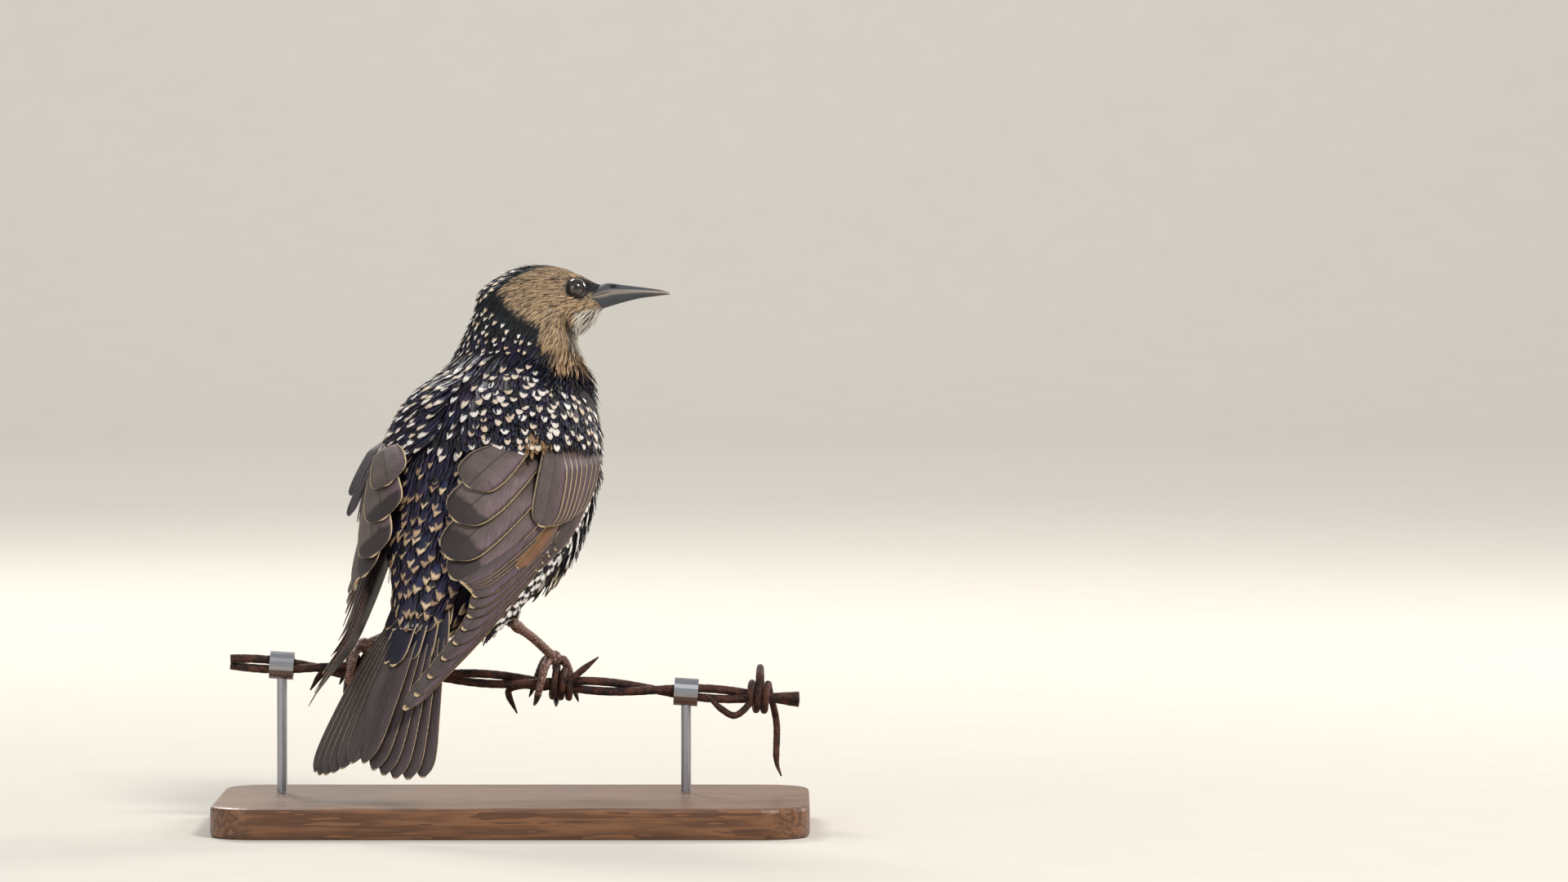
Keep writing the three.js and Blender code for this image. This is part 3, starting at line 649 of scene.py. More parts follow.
skin_tint = skin.data.attributes.new("ground", "FLOAT_COLOR", "POINT")
skin_zone = zones_at(SKIN_POINTS)
skin_ground, _ = colours_at(SKIN_POINTS, skin_zone, np.zeros(len(SKIN_POINTS), bool))
skin_tint.data.foreach_set("color", (skin_ground * [0.6, 0.6, 0.6, 1]).astype(np.float32).ravel())
skin.data.materials.append(skin_material())
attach(skin, "root")
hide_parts(*FLESH)


def nearest(points):
    """The nearest place on the skin to each point, and the skin's face there."""
    places = np.empty_like(points)
    faces = np.empty(len(points), int)
    for i, p in enumerate(points):
        hit, _, face, _ = SKIN_TREE.find_nearest(Vector(p))
        places[i] = hit
        faces[i] = face
    return places, faces


def lie_at(points):
    """The way that feathers lie: back from the bill, down the neck and along the trunk to the tail."""
    hz = HEAD.inside(points)[2]
    tx, ty, _ = TRUNK.inside(points)
    on_head = ease(ty, 40, 60)[:, None]
    down = np.array([0, 0, -1.0])
    head_way = -HEAD.forward + down * (0.15 + 0.5 * ease(hz, 2, -10))[:, None]
    spread = (0.004 * np.clip(tx, -30, 30))[:, None] * TRUNK.right
    trunk_way = -TRUNK.forward + spread * ease(ty, 45, 0)[:, None]
    way = head_way * on_head + trunk_way * (1 - on_head)
    low = ease(points[:, 2], 78, 66)[:, None] * ease(ty, -34, -26)[:, None]
    return unit(way * (1 - low) + down * low)


def scatter(radius_at, count, taken=None):
    """Places spread over the skin, no two nearer than the radius wanted there."""
    wanted = radius_at(FACE_MIDDLES)
    weight = np.where(wanted > 0, FACE_AREAS / np.maximum(wanted, 0.3) ** 2, 0)
    faces = random.choice(len(weight), count, p=weight / weight.sum())
    shares = random.dirichlet([1, 1, 1, 1], count)
    corners = np.array([(SKIN_FACES[f] * 2)[:4] for f in faces])
    places = np.einsum("ij,ijk->ik", shares, SKIN_POINTS[corners])
    radius = wanted[faces]
    cell = wanted.max()
    grid = {}
    for i, p in enumerate(taken if taken is not None else []):
        grid.setdefault(tuple((p // cell).astype(int)), []).append(p)
    kept = []
    for i, (p, r) in enumerate(zip(places, radius)):
        x, y, z = (p // cell).astype(int)
        near = [
            q
            for a in (x - 1, x, x + 1)
            for b in (y - 1, y, y + 1)
            for c in (z - 1, z, z + 1)
            for q in grid.get((a, b, c), ())
        ]
        if near and np.min(np.sum((np.array(near) - p) ** 2, axis=1)) < r * r:
            continue
        grid.setdefault((x, y, z), []).append(p)
        kept.append(i)
    return places[kept], faces[kept]


# The wings' outside, as in the solids
WING = {"wrist": 33, "arm_end": -16, "tip": -84, "away": 11, "sink": 3.8}
WING_FORM = [
    [-84, 13.5, 10, -2.5, 56, 86],
    [-69, 16.5, 12, -3, 46, 100],
    [-55, 19.5, 14.5, -5, 36, 110],
    [-38, 25.3, 18, -5.6, 26, 113],
    [-18, 31.5, 23, -5, 24, 112],
    [-4, 34, 26, -4, 26, 106],
    [8, 34.5, 27, -3, 32, 102],
    [20, 33, 26, -2, 40, 100],
    [32, 28, 22, -1, 58, 98],
]


def on_wing(side, y, degrees, out):
    across, high, middle = between(WING_FORM, y)[:3]
    turn = np.radians(degrees)
    reach = np.clip((WING["wrist"] - y) / (WING["wrist"] - WING["tip"]), 0, 1.2)
    hanging = WING["away"] * reach**1.8 if side < 0 else 0
    x, z = (across + out) * np.sin(turn) + hanging, middle + (high + out) * np.cos(turn)
    return TRUNK.point(side * x, y, z)


def under_wing(points):
    """Whether a place on the trunk lies under a folded wing."""
    tx, ty, tz = TRUNK.inside(points)
    degrees = np.degrees(np.arctan2(np.abs(tx), tz + 3))
    start, end = between(WING_FORM, ty)[3:]
    inner = np.where(ty > 14, 14, 9 + 34 * ease(ty, -14, -34))
    return (degrees > start + inner) & (degrees < end - 17) & (ty > -46) & (ty < 27)


def spacing(kind):
    sizes = np.array([ZONES[name][kind] for name in ZONE_NAMES], float)

    def at(points):
        radius = sizes[zones_at(points)]
        hx, hy, hz = HEAD.inside(points)
        from_eye = np.hypot(hy - EYE["along"], hz - EYE["up"])
        radius[(from_eye < 2.3) & (np.abs(hx) > 3)] = 0
        radius[hy > 20.8] = 0
        radius[(hy > 15) & (np.abs(hz - 0.7) < 0.55 * (hy - 14.6))] = 0
        radius[under_wing(points)] = 0
        return radius

    return at


def lay_feathers(name, roots, faces, marked, stations, columns, material, slot):
    """Small feathers rooted on the skin, each following it along its lie."""
    count = len(roots)
    zone = zones_at(roots)
    sizes = {
        key: np.array([ZONES[z][key] for z in ZONE_NAMES])[zone] for key in ("length", "width", "depth")
    }
    vary = random.uniform(0.85, 1.15, count)
    marked_width = np.array([MARKED_WIDTH.get(z, 1.0) for z in ZONE_NAMES])[zone]
    length = sizes["length"] * vary * np.where(marked, 1.1, 1.0)
    width = np.where(marked, marked_width, sizes["width"]) * random.uniform(0.8, 1.2, count)
    depth = sizes["depth"] * random.uniform(0.7, 1.15, count) + np.where(marked, 0.4, 0.0)
    t = np.linspace(0, 1, stations)
    normal = FACE_NORMALS[faces]
    stray = random.normal(0, 0.09, (count, 1))
    ahead = lie_at(roots)
    middle, rows = roots.copy(), []
    for k in range(stations):
        if k:
            lie = lie_at(middle)
            ahead = unit(0.5 * ahead + 0.5 * unit(lie + stray * np.cross(lie, normal)))
            middle, faces_here = nearest(middle + ahead * (length / (stations - 1))[:, None])
            normal = unit(0.4 * normal + 0.6 * FACE_NORMALS[faces_here])
        ahead = unit(ahead - normal * np.sum(ahead * normal, axis=1, keepdims=True))
        rows.append((middle.copy(), ahead.copy(), normal.copy()))
    centre, ahead, normal = (np.stack(part, 1) for part in zip(*rows))
    side = np.cross(ahead, normal)
    pointed = np.interp(t, [0, 0.25, 0.6, 0.85, 1], [0.5, 0.85, 1, 0.8, 0.24])
    rounded = np.interp(t, [0, 0.25, 0.6, 0.85, 1], [0.45, 0.8, 1, 0.92, 0.5])
    shape = np.where(marked[:, None], rounded, pointed)
    a = np.linspace(-1, 1, columns)
    half = (width[:, None] * shape / 2)[:, :, None, None]
    rise = (depth[:, None] * (0.15 + 0.85 * t**0.8) - 0.35)[:, :, None, None]
    wide = width[:, None, None]
    round_tip = (-(a**2) * (t**4)[:, None] * 0.32 * wide)[..., None]
    frayed = (random.normal(0, 0.09, (count, 1, columns)) * (t > 0.8)[:, None] * wide)[..., None]
    camber = (-0.07 * (a**2) * wide)[..., None]
    top = (
        centre[:, :, None]
        + side[:, :, None] * half * a[None, None, :, None]
        + ahead[:, :, None] * (round_tip + frayed)
        + normal[:, :, None] * (rise + camber)
    )
    thick = (0.05 * width + 0.02)[:, None, None]
    below = centre + normal * (rise[:, :, 0] - thick)
    ground, mark = colours_at(centre[:, -1], zones_at(centre[:, -1]), marked)
    patches = FACE_UVS[faces] - PATCH / 2, np.full((count, 2), PATCH)
    return vanes(name, top, below, t, a, ground, mark, None, *patches, material, slot)


def vanes(name, top, below, t, a, ground, mark, rim, uv_from, uv_size, material, slot):
    """Closed vanes as one piece. top has every vane's points, station by station and side to side."""
    count, stations, columns, _ = top.shape
    ring = columns + 1
    points = np.concatenate([top, below[:, :, None]], axis=2)
    base = (np.arange(count) * stations * ring)[:, None]
    s, c = np.meshgrid(np.arange(stations - 1), np.arange(ring), indexing="ij")
    quads = quads_of(stations, ring, s, c)
    ends = np.stack([np.arange(ring)[::-1], (stations - 1) * ring + np.arange(ring)])
    loops_one = np.concatenate([quads.ravel(), ends.ravel()])
    sizes_one = np.concatenate([np.full(len(quads), 4), [ring, ring]])
    loops = (base + loops_one).ravel()
    sizes = np.tile(sizes_one, count)
    u_column = np.concatenate([np.linspace(0, 0.82, columns), [0.91]])
    next_column = np.append(u_column[1:], 1.0)
    quad_u = np.stack([u_column[c], next_column[c], next_column[c], u_column[c]], -1)
    quad_v = np.stack([t[s], t[s], t[s + 1], t[s + 1]], -1)
    end_u = np.concatenate([u_column[::-1], u_column])
    end_v = np.concatenate([np.full(ring, t[0]), np.full(ring, t[-1])])
    uv_one = np.stack([np.append(quad_u.ravel(), end_u), np.append(quad_v.ravel(), end_v)], -1)
    uv = (uv_from[:, None] + uv_one[None] * uv_size[:, None]).reshape(-1, 2)
    pick = np.broadcast_to(random.random(count)[:, None, None], (count, stations, ring))
    aside = np.broadcast_to(np.append(a, 0.0)[None, None], (count, stations, ring))
    along = np.broadcast_to(t[None, :, None], (count, stations, ring))
    attributes = {"lie": ("FLOAT_VECTOR", np.stack([aside, along, pick], -1))}
    for key, values in (("ground", ground), ("mark", mark), ("rim", rim)):
        if values is not None:
            kind = "FLOAT_COLOR" if values.shape[1] == 4 else "FLOAT_VECTOR"
            attributes[key] = (kind, np.repeat(values, stations * ring, axis=0))
    return mesh_of(name, points.reshape(-1, 3), loops, sizes, material, slot, uv=uv, attributes=attributes)


COAT_FINE = coat_material("fine_plumage", 9.0)
COAT_LARGE = coat_material("glossy_plumage", 26.0)
VANE = vane_material("flight_feather")

marked_roots, marked_faces = scatter(spacing("spot"), 9000)
plain_roots, plain_faces = scatter(spacing("fill"), 90000)
roots = np.concatenate([marked_roots, plain_roots])
root_faces = np.concatenate([marked_faces, plain_faces])
is_marked = np.arange(len(roots)) < len(marked_roots)
root_zone = zones_at(roots)


def rooted_in(*names):
    return np.isin(root_zone, [ZONE_NAMES.index(name) for name in names])


small = rooted_in("face", "throat", "collar")
nape = rooted_in("nape")
upper = rooted_in("mantle", "rump")
under = rooted_in("breast", "vent", "thigh")
on_right_face = HEAD.inside(roots)[0] >= 0
on_right_side = TRUNK.inside(roots)[0] >= 0
# Which feathers each piece has, and how many rows of points a feather has along it and across it
GROUPS = {
    "plumage_face_right": (small & on_right_face, 4, 3),
    "plumage_face_left": (small & ~on_right_face, 4, 3),
    "plumage_nape": (nape & ~is_marked, 6, 3),
    "plumage_nape_spots": (nape & is_marked, 7, 5),
    "plumage_back": (upper & ~is_marked, 6, 3),
    "plumage_back_spots": (upper & is_marked, 7, 5),
    "plumage_under_right": (under & ~is_marked & on_right_side, 6, 3),
    "plumage_under_left": (under & ~is_marked & ~on_right_side, 6, 3),
    "plumage_under_spots": (under & is_marked, 7, 5),
}
for group, (chosen, stations, columns) in GROUPS.items():
    material, slot = (COAT_FINE, "plumage_head") if "face" in group else (COAT_LARGE, "plumage_body")
    lay_feathers(
        group, roots[chosen], root_faces[chosen], is_marked[chosen], stations, columns, material, slot
    )

# Flight feathers

# Where a large feather's rows of points are along it and across it
STATIONS = np.concatenate([np.linspace(0, 0.85, 22), np.linspace(0.875, 1, 8)])
COLUMNS = np.linspace(-1, 1, 9)

# Share of the whole width, by place along the feather
VANE_SHAPE = [[0, 0.6], [0.4, 0.95], [0.78, 1], [0.9, 0.88], [0.96, 0.62], [1, 0.18]]
COVERT_SHAPE = [[0, 0.3], [0.35, 0.75], [0.7, 1], [0.88, 0.95], [0.96, 0.78], [1, 0.42]]


def wing_places(side, feathers, t, a, form=VANE_SHAPE, sink=WING["sink"]):
    """The points of feathers of one wing, and of the middle of their undersides."""
    tops, belows = [], []
    for one in feathers:
        length = one["root"][0] - one["tip"][0]
        shape = between(form, t)[0]
        degrees = one["root"][1] + (one["tip"][1] - one["root"][1]) * t ** one.get("hook", 1)
        sunk = sink * np.maximum(0, 1 - t / 0.35)
        rise = one["lift"] + one.get("rise", 0) * t - sunk
        half = one["width"] / 2 * shape

        def place(aside, up, back):
            y = one["root"][0] - t * length + back
            across, high = between(WING_FORM, y)[:2]
            per_degree = np.radians((across + high) / 2)
            lean = ease(t, 0.2, 0.7) * aside * (one["tip"][1] - one["root"][1]) * per_degree / length
            return on_wing(side, y + lean, degrees + aside / per_degree, rise + one["tilt"] * aside + up)

        lifts = 0.22 - 0.16 * a * a + 0.05 * np.abs(a)
        columns = [place(half * c, lift, 0.22 * half * c * c * t**5) for c, lift in zip(a, lifts)]
        tops.append(np.stack(columns, 1))
        belows.append(place(0 * half, -0.12, 0))
    return np.array(tops), np.array(belows)


def spaced(rows, count):
    """Rows of numbers drawn out to a count, evenly."""
    rows = np.asarray(rows, float)
    at = np.linspace(0, len(rows) - 1, count)
    return np.column_stack([np.interp(at, np.arange(len(rows)), rows[:, k]) for k in range(rows.shape[1])])


def series(roots, tips, count, **others):
    """Feathers side by side. Each further value is a number, or its first and last."""
    roots, tips = spaced(roots, count), spaced(tips, count)
    made = []
    for i in range(count):
        share = i / max(1, count - 1)
        one = {"root": roots[i], "tip": tips[i]}
        for key, value in others.items():
            one[key] = value if isinstance(value, (int, float)) else value[0] + (value[1] - value[0]) * share
        made.append(one)
    return made


PRIMARY_TIPS = [[-83, 66], [-77, 71], [-69, 73], [-61, 73], [-55, 71], [-50, 67], [-47, 62], [-43.5, 58]]
WING_BROWN, WING_DARK = colour(98, 84, 78), colour(62, 52, 50)
EDGE_BUFF = colour(232, 204, 160)


def lone(root, tip, width, lift, **others):
    return {"root": root, "tip": tip, "width": width, "lift": lift, "tilt": 0.1, **others}


def flight_feathers():
    """Every large feather of a wing, lowest first."""
    primaries = {"width": 8.0, "lift": (-6, -2.8), "rise": (4.4, 1.7), "tilt": 0.3, "hook": (3.0, 1.4)}
    secondaries = {"width": 9, "lift": (-2.7, -1.8), "rise": 0.7, "tilt": 0.2, "hook": 1.25}
    alula = {"width": 6.5, "lift": (-1.6, -0.6), "tilt": 0.2}
    coverts = {"width": (7.5, 9), "lift": (-0.6, 0.9), "tilt": 0.2}
    return [
        *series([[10, 106], [3, 91]], PRIMARY_TIPS, 9, **primaries, edge=0.055, tone=(0.1, 0.35)),
        *series([[2, 90], [2, 81]], [[-42.5, 55], [-41.5, 43]], 5, **secondaries, edge=0.06, tone=0.5),
        lone([-4, 82], [-30, 76], 7, -0.9, colour=colour(128, 90, 56)),
        lone([0, 76], [-41, 34], 12.5, -1.5, band=1, tone=0.9),
        lone([-1, 62], [-36, 25], 13, -0.6, band=1, tone=1.0),
        lone([1, 52], [-25.5, 21], 12.5, 0.3, band=1, tone=1.0),
        lone([4, 43], [-15.5, 22], 11.5, 1.2, band=0.3, tone=1.0),
        *series([[12, 99], [14, 97]], [[-26, 95], [-18, 97]], 4, **alula, edge=0.08, tone=0.2),
        *series(
            [[22, 90], [16, 70], [11, 57]], [[-3, 98], [-13, 84], [-17.5, 72]], 8, **coverts, edge=0.09,
            tone=(0.3, 0.7),
        ),
    ]


# Two feathers of the left wing that stand out past it
STRAY = [
    lone([12, 62], [-14, 57], 3.4, 0.2, rise=3.8, edge=0.01, colour=colour(30, 24, 28)) | {"tilt": 0.9},
    lone([6, 67], [-19, 62], 3.4, 0.0, rise=3.2, edge=0.01, colour=colour(30, 24, 28)) | {"tilt": 0.9},
]


def place_vanes(name, tops, belows, feathers):
    """Large feathers as one piece, with the colours and edges that each asks for."""
    count = len(tops)
    # gloss here sets how strong the painted sheen is on these feathers
    usual = {"tone": 0.5, "gloss": 0.42, "edge": 0.06, "band": 0, "tip_edge": 6}
    asked = np.array([[one.get(key, value) for key, value in usual.items()] for one in feathers], float)
    ground = np.hstack([blend(WING_DARK, WING_BROWN, asked[:, :1]), asked[:, 1:2]])
    for i, one in enumerate(feathers):
        if "colour" in one:
            ground[i, :3] = one["colour"]
    ground[:, :3] *= random.uniform(0.85, 1.15, (count, 1))
    mark = np.tile(np.append(EDGE_BUFF, 1.0), (count, 1))
    rim = asked[:, 2:]
    side = math.ceil(math.sqrt(count))
    cells = np.array([[i % side, i // side] for i in range(count)], float) / side
    patches = cells + 0.04 / side, np.full((count, 2), 0.92 / side)
    return vanes(name, tops, belows, STATIONS, COLUMNS, ground, mark, rim, *patches, VANE, "flight_feathers")


def arm(side):
    """The arm and hand that the feathers grow from."""
    rings = []
    for y in np.linspace(WING["wrist"] - 1, WING["arm_end"], 12):
        share = (WING["wrist"] - y) / (WING["wrist"] - WING["arm_end"])
        start, end = between(WING_FORM, y)[3:]
        degrees = np.linspace(start + 5, end - 3, 14)
        top = on_wing(side, np.full(14, y), degrees, -1.6 - 3.0 * share**1.5)
        low = on_wing(side, np.full(14, y), degrees[::-1], -8)
        rings.append(np.concatenate([top, low]))
    return skin_of(rings)


# Spotted coverts and scapulars over the front of the wing: the wing's far edge of them, by place along it
SHOULDER_END = np.array([[-8, 40], [-3, 47], [3, 58], [8, 74], [12, 88], [16, 97], [36, 99]])


def shoulder_feathers(side, apart, width, loose, spotted):
    """Small feathers over the wrist and the inner wing, in loose rows, each tip over the next ones' roots."""
    feathers = []
    for row, y in enumerate(np.arange(-6, 28.5, apart * 0.72)):
        across, high = between(WING_FORM, y)[:2]
        per_degree = np.radians((across + high) / 2)
        step = apart / per_degree
        end = np.interp(y, SHOULDER_END[:, 0], SHOULDER_END[:, 1])
        for degrees in np.arange(13 + (row % 2) * step / 2, end, step):
            along, aside = random.normal(0, loose * apart, 2)
            inner = 1 - ease(degrees, 14, 38)
            front = ease(y, 10, 29)
            far = ease(degrees, 35, 60) if side < 0 else 0
            turned = degrees + aside / per_degree
            feathers.append({
                "tip": [y + along, turned],
                "root": [y + along + random.uniform(6.5, 8.5), turned - 2 - 3 * inner + random.normal(0, 2)],
                "width": width * random.uniform(0.8, 1.2),
                "lift": -1.5 - 1.4 * inner - 2.6 * front - 1.8 * far + random.normal(0, 0.12) + 0.3 * spotted,
                "rise": 2.3,
                "tilt": 0.05,
                "spotted": spotted,
            })
    return feathers


def flank_feathers():
    """Boldly spotted feathers that show below the right wing's lower edge, turned to the back."""
    feathers = []
    for row, y in enumerate(np.arange(-45, 8, 2.6)):
        end = between(WING_FORM, y)[4]
        for degrees in end + np.array([-14, 0, 14]) + (row % 2) * 7:
            along, turned = random.normal(0, 0.7), degrees + random.normal(0, 2)
            for k in range(6):
                feathers.append({
                    "tip": [y + along - 0.9 * (k % 3), turned + 2.4 * k],
                    "root": [y + along + random.uniform(7, 9), turned + 1.5 + 2.4 * k],
                    "width": random.uniform(2.4, 3.1) if k == 0 else 1.3,
                    "lift": -4.9 + (0.3 if k == 0 else 0),
                    "rise": 3.2,
                    "tilt": 0.7,
                    "spotted": k == 0,
                })
    return feathers


def lay_coverts(name, side, feathers, zone):
    """Small feathers placed on a wing's outside, as one piece with the markings of a zone."""
    t, a = np.linspace(0, 1, 7), np.linspace(-1, 1, 5)
    tops, belows = wing_places(side, feathers, t, a, COVERT_SHAPE, 0)
    if side < 0:
        tops = tops[:, :, ::-1]
    spotted = np.array([one["spotted"] for one in feathers])
    ground, mark = colours_at(tops[:, -1, 2], np.full(len(feathers), ZONE_NAMES.index(zone)), spotted)
    if zone == "mantle":
        tips = np.array([one["tip"] for one in feathers])
        worn = (tips[:, 0] < 4) & (tips[:, 1] > 45) & (tips[:, 1] < 60) & ~spotted
        ground[worn, :3] = colour(150, 116, 82) * random.uniform(0.5, 1.2, (int(worn.sum()), 1))
    _, skin_faces = nearest(tops[:, 0, 2])
    patches = FACE_UVS[skin_faces] - PATCH / 2, np.full((len(feathers), 2), PATCH)
    vanes(name, tops, belows, t, a, ground, mark, None, *patches, COAT_LARGE, "plumage_body")


DOWN = mottled("wing_down", colour(20, 17, 20), colour(44, 36, 40), 900.0, 0.8, 0.4)

for side, name in ((1, "right"), (-1, "left")):
    feathers = flight_feathers() + (STRAY if side < 0 else [])
    tops, belows = wing_places(side, feathers, STATIONS, COLUMNS)
    if side < 0:
        tops = tops[:, :, ::-1]
    piece = place_vanes(f"flight_feathers_{name}", tops, belows, feathers)
    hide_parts("wing_" + name)
    mesh_of(f"wing_skin_{name}", *arm(side), DOWN, "plumage_body")
    coverts = shoulder_feathers(side, 3.8, 2.3, 0.2, True) + shoulder_feathers(side, 1.15, 0.9, 0.35, False)
    lay_coverts(f"coverts_{name}", side, coverts, "mantle")
lay_coverts("flank_right", 1, flank_feathers(), "breast")

# Tail


def tail_places(feathers, t, a):
    tops, belows = [], []
    for one in feathers:
        shape = between(VANE_SHAPE, t)[0]
        half = one["width"] / 2 * shape

        def place(aside, up, back):
            x = one["x"][0] + (one["x"][1] - one["x"][0]) * t**0.85 + aside
            share = x * one["side"] / 20
            drop = 4 * t * share * np.abs(share) * one["droop"]
            high = one["high"] - drop + 0.16 * one["side"] * aside + up
            if one["droop"] == 0:
                high = high - 0.02 * x * x - 1.2 * t
            return TAIL.point(x, one["start"] - t * one["length"] + back, high)

        columns = [place(half * c, 0.2 - 0.15 * c * c, 0.25 * half * c * c * t**5) for c in a]
        tops.append(np.stack(columns, 1))
        belows.append(place(0 * half, -0.12, 0))
    return np.array(tops), np.array(belows)


# How much longer each feather is than the tail, from the middle pair outwards
TAIL_STEPS = [-1.5, 0, 1, 1.2, 0.6, -1.2]
# black with a little painted blue sheen
BLUE_BLACK = BLACK * 0.9 + BLUE * 0.2
tail = []
for side in (1, -1):
    for k in range(6):
        tail.append({
            "x": [side * (0.6 + 0.85 * k), side * (2.4 + 3.4 * k)],
            "length": TAIL_LENGTH + TAIL_STEPS[k],
            "high": (0.45 if side > 0 and k == 0 else 0) - 0.42 * k,
            "start": 0, "width": 8.6, "side": side, "droop": 1,
            # gloss keeps the painted sheen weak on the tail
            "edge": 0.045, "tip_edge": 9, "tone": 0.1, "gloss": 0.1,
        })
for row, (start, length, high) in enumerate([(4, 26, 2.1), (9, 22, 2.7), (13, 18, 3.2)]):
    for k in np.linspace(-3, 3, 7 if row % 2 == 0 else 6):
        tail.append({
            "x": [2.0 * k, 3.6 * k - 0.6 * k * row],
            "length": length - 1.2 * abs(k) + random.normal(0, 0.7),
            "high": high + random.normal(0, 0.15) - 0.3 * abs(k),
            "start": start, "width": 7.5, "side": 1, "droop": 0,
            # a weak painted sheen on the coverts too
            "edge": 0.1, "tip_edge": 4, "colour": BLUE_BLACK, "gloss": 0.1,
        })
tops, belows = tail_places(tail, STATIONS, COLUMNS)
piece = place_vanes("tail_feathers", tops, belows, tail)
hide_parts("tail")

# Bill: place along it, half width, ridge, mouth line and underside
BILL_LENGTH = 20.6
BILL_FORM = [
    [-4, 5.3, 1.5, 0.3, -0.8],
    [-2.4, 5.0, 1.9, 0.5, -1.3],
    [-1, 4.3, 2.9, 0.85, -2.5],
    [0.5, 3.5, 3.8, 1.2, -3.2],
    [2, 3.05, 4.2, 1.5, -2.9],
    [3, 2.9, 4.2, 1.75, -2.6],
    [7, 2.4, 3.6, 1.9, -1.5],
    [12, 1.8, 2.9, 1.8, -0.4],
    [16, 1.3, 2.3, 1.5, 0.05],
    [19, 0.8, 1.65, 1.2, 0.4],
    [20.6, 0.35, 1.05, 0.8, 0.5],
]


def mandible(upper):
    """One half of the bill: 1 for the upper one and -1 for the lower one."""
    y = np.linspace(-3.6, BILL_LENGTH, 50)[:, None]
    across, ridge, mouth, under = between(BILL_FORM, y[:, 0])[..., None]
    edge = mouth + upper * 0.1
    far = ridge if upper > 0 else under
    turn = np.linspace(0, np.pi, 25)
    high = edge + (far - edge) * np.sin(turn) ** 0.8
    wide = across * np.sign(np.cos(turn)) * np.abs(np.cos(turn)) ** 0.9
    # a groove in front of each nostril, and the nostril itself
    groove = np.exp(-(((y - 4.4) / 2.4) ** 2)) * np.exp(-(((high - 3.3) / 0.7) ** 2))
    nostril = np.exp(-(((y - 3.8) / 1.1) ** 2)) * np.exp(-(((high - 3.3) / 0.5) ** 2)) * max(upper, 0)
    wide = wide * (1 - 0.1 * groove * max(upper, 0) - 0.3 * nostril)
    lie = np.stack(np.broadcast_arrays(np.sin(turn), y / BILL_LENGTH, nostril), -1)
    return *skin_of(HEAD.point(wide, BILL_FROM + y, high)), lie


BILL = bill_material()
for upper, name in ((1, "upper"), (-1, "lower")):
    *horn, lie = mandible(upper)
    piece = mesh_of("bill_horn_" + name, *horn, BILL, "bill", attributes={"lie": ("FLOAT_VECTOR", lie)})
    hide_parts("bill_" + name)

# Eyes, with a thin bare lid round each
LID = mottled("eyelid", colour(18, 15, 15), colour(46, 38, 34), 1400.0, 0.8, 0.5)
EYE_RINGS, EYE_SIDES = 33, 48
LID_STEPS, LID_SIDES = 64, 10


def eyeball(middle, outward):
    """A ball round the outward axis, with how far each point is from it and the turn round it."""
    rise = np.linspace(0.001, math.pi - 0.001, EYE_RINGS)
    turn = np.linspace(0, 2 * math.pi, EYE_SIDES + 1)[:-1]
    spokes = np.cos(turn)[:, None] * HEAD.forward + np.sin(turn)[:, None] * HEAD.up
    rings = [middle + EYE["radius"] * (math.cos(r) * outward + math.sin(r) * spokes) for r in rise]
    from_axis = np.sin(rise) + (rise > math.pi / 2) * 2
    lie = np.stack(np.broadcast_arrays(from_axis[:, None], np.sin(turn), 0.0), -1)
    return *skin_of(rings), lie


def eyelid(middle, outward, radius, thick):
    """A ring round the eye, a little lower above than below."""
    ring = np.linspace(0, 2 * math.pi, LID_STEPS + 1)[:-1]
    tall = np.where(np.sin(ring) > 0, 0.93, 0.96)
    path = middle + radius * (
        np.cos(ring)[:, None] * HEAD.forward * 1.04 + (tall * np.sin(ring))[:, None] * HEAD.up
    )
    cross = np.linspace(0, 2 * math.pi, LID_SIDES + 1)[:-1]
    radial = unit(path - middle)
    around = np.cos(cross)[None, :, None] * radial[:, None] + np.sin(cross)[None, :, None] * outward
    k, s = np.meshgrid(np.arange(LID_STEPS), np.arange(LID_SIDES), indexing="ij")
    quads = quads_of(LID_STEPS, LID_SIDES, k, s)[:, [0, 3, 2, 1]]
    if outward @ HEAD.right > 0:
        quads = quads[:, ::-1]
    return (path[:, None] + thick * around).reshape(-1, 3), quads.ravel(), np.full(len(quads), 4)


for side, name in ((1, "right"), (-1, "left")):
    outward = HEAD.right * side
    middle = HEAD.point(side * EYE["out"], EYE["along"], EYE["up"])
    *ball, lie = eyeball(middle, outward)
    lie = {"lie": ("FLOAT_VECTOR", lie)}
    piece = mesh_of(f"eyeball_{name}", *ball, eye_material(name), "eye", attributes=lie)
    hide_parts("eye_" + name)
    lids = ((1.98, 2.22, 0.2), (2.2, 1.98, 0.24))
    lids = [eyelid(middle + outward * out, outward, radius, thick) for radius, out, thick in lids]
    mesh_of(f"eyelids_{name}", *joined(lids), LID, "plumage_head")

# Legs, feet and wire


def round_wire(x, degrees, radius):
    turn = np.radians(degrees)
    height = WIRE["height"] + WIRE["slope"] * np.asarray(x, float)
    y, z = WIRE["y"] + radius * np.sin(turn), height + radius * np.cos(turn)
    return np.stack(np.broadcast_arrays(x, y, z), -1)


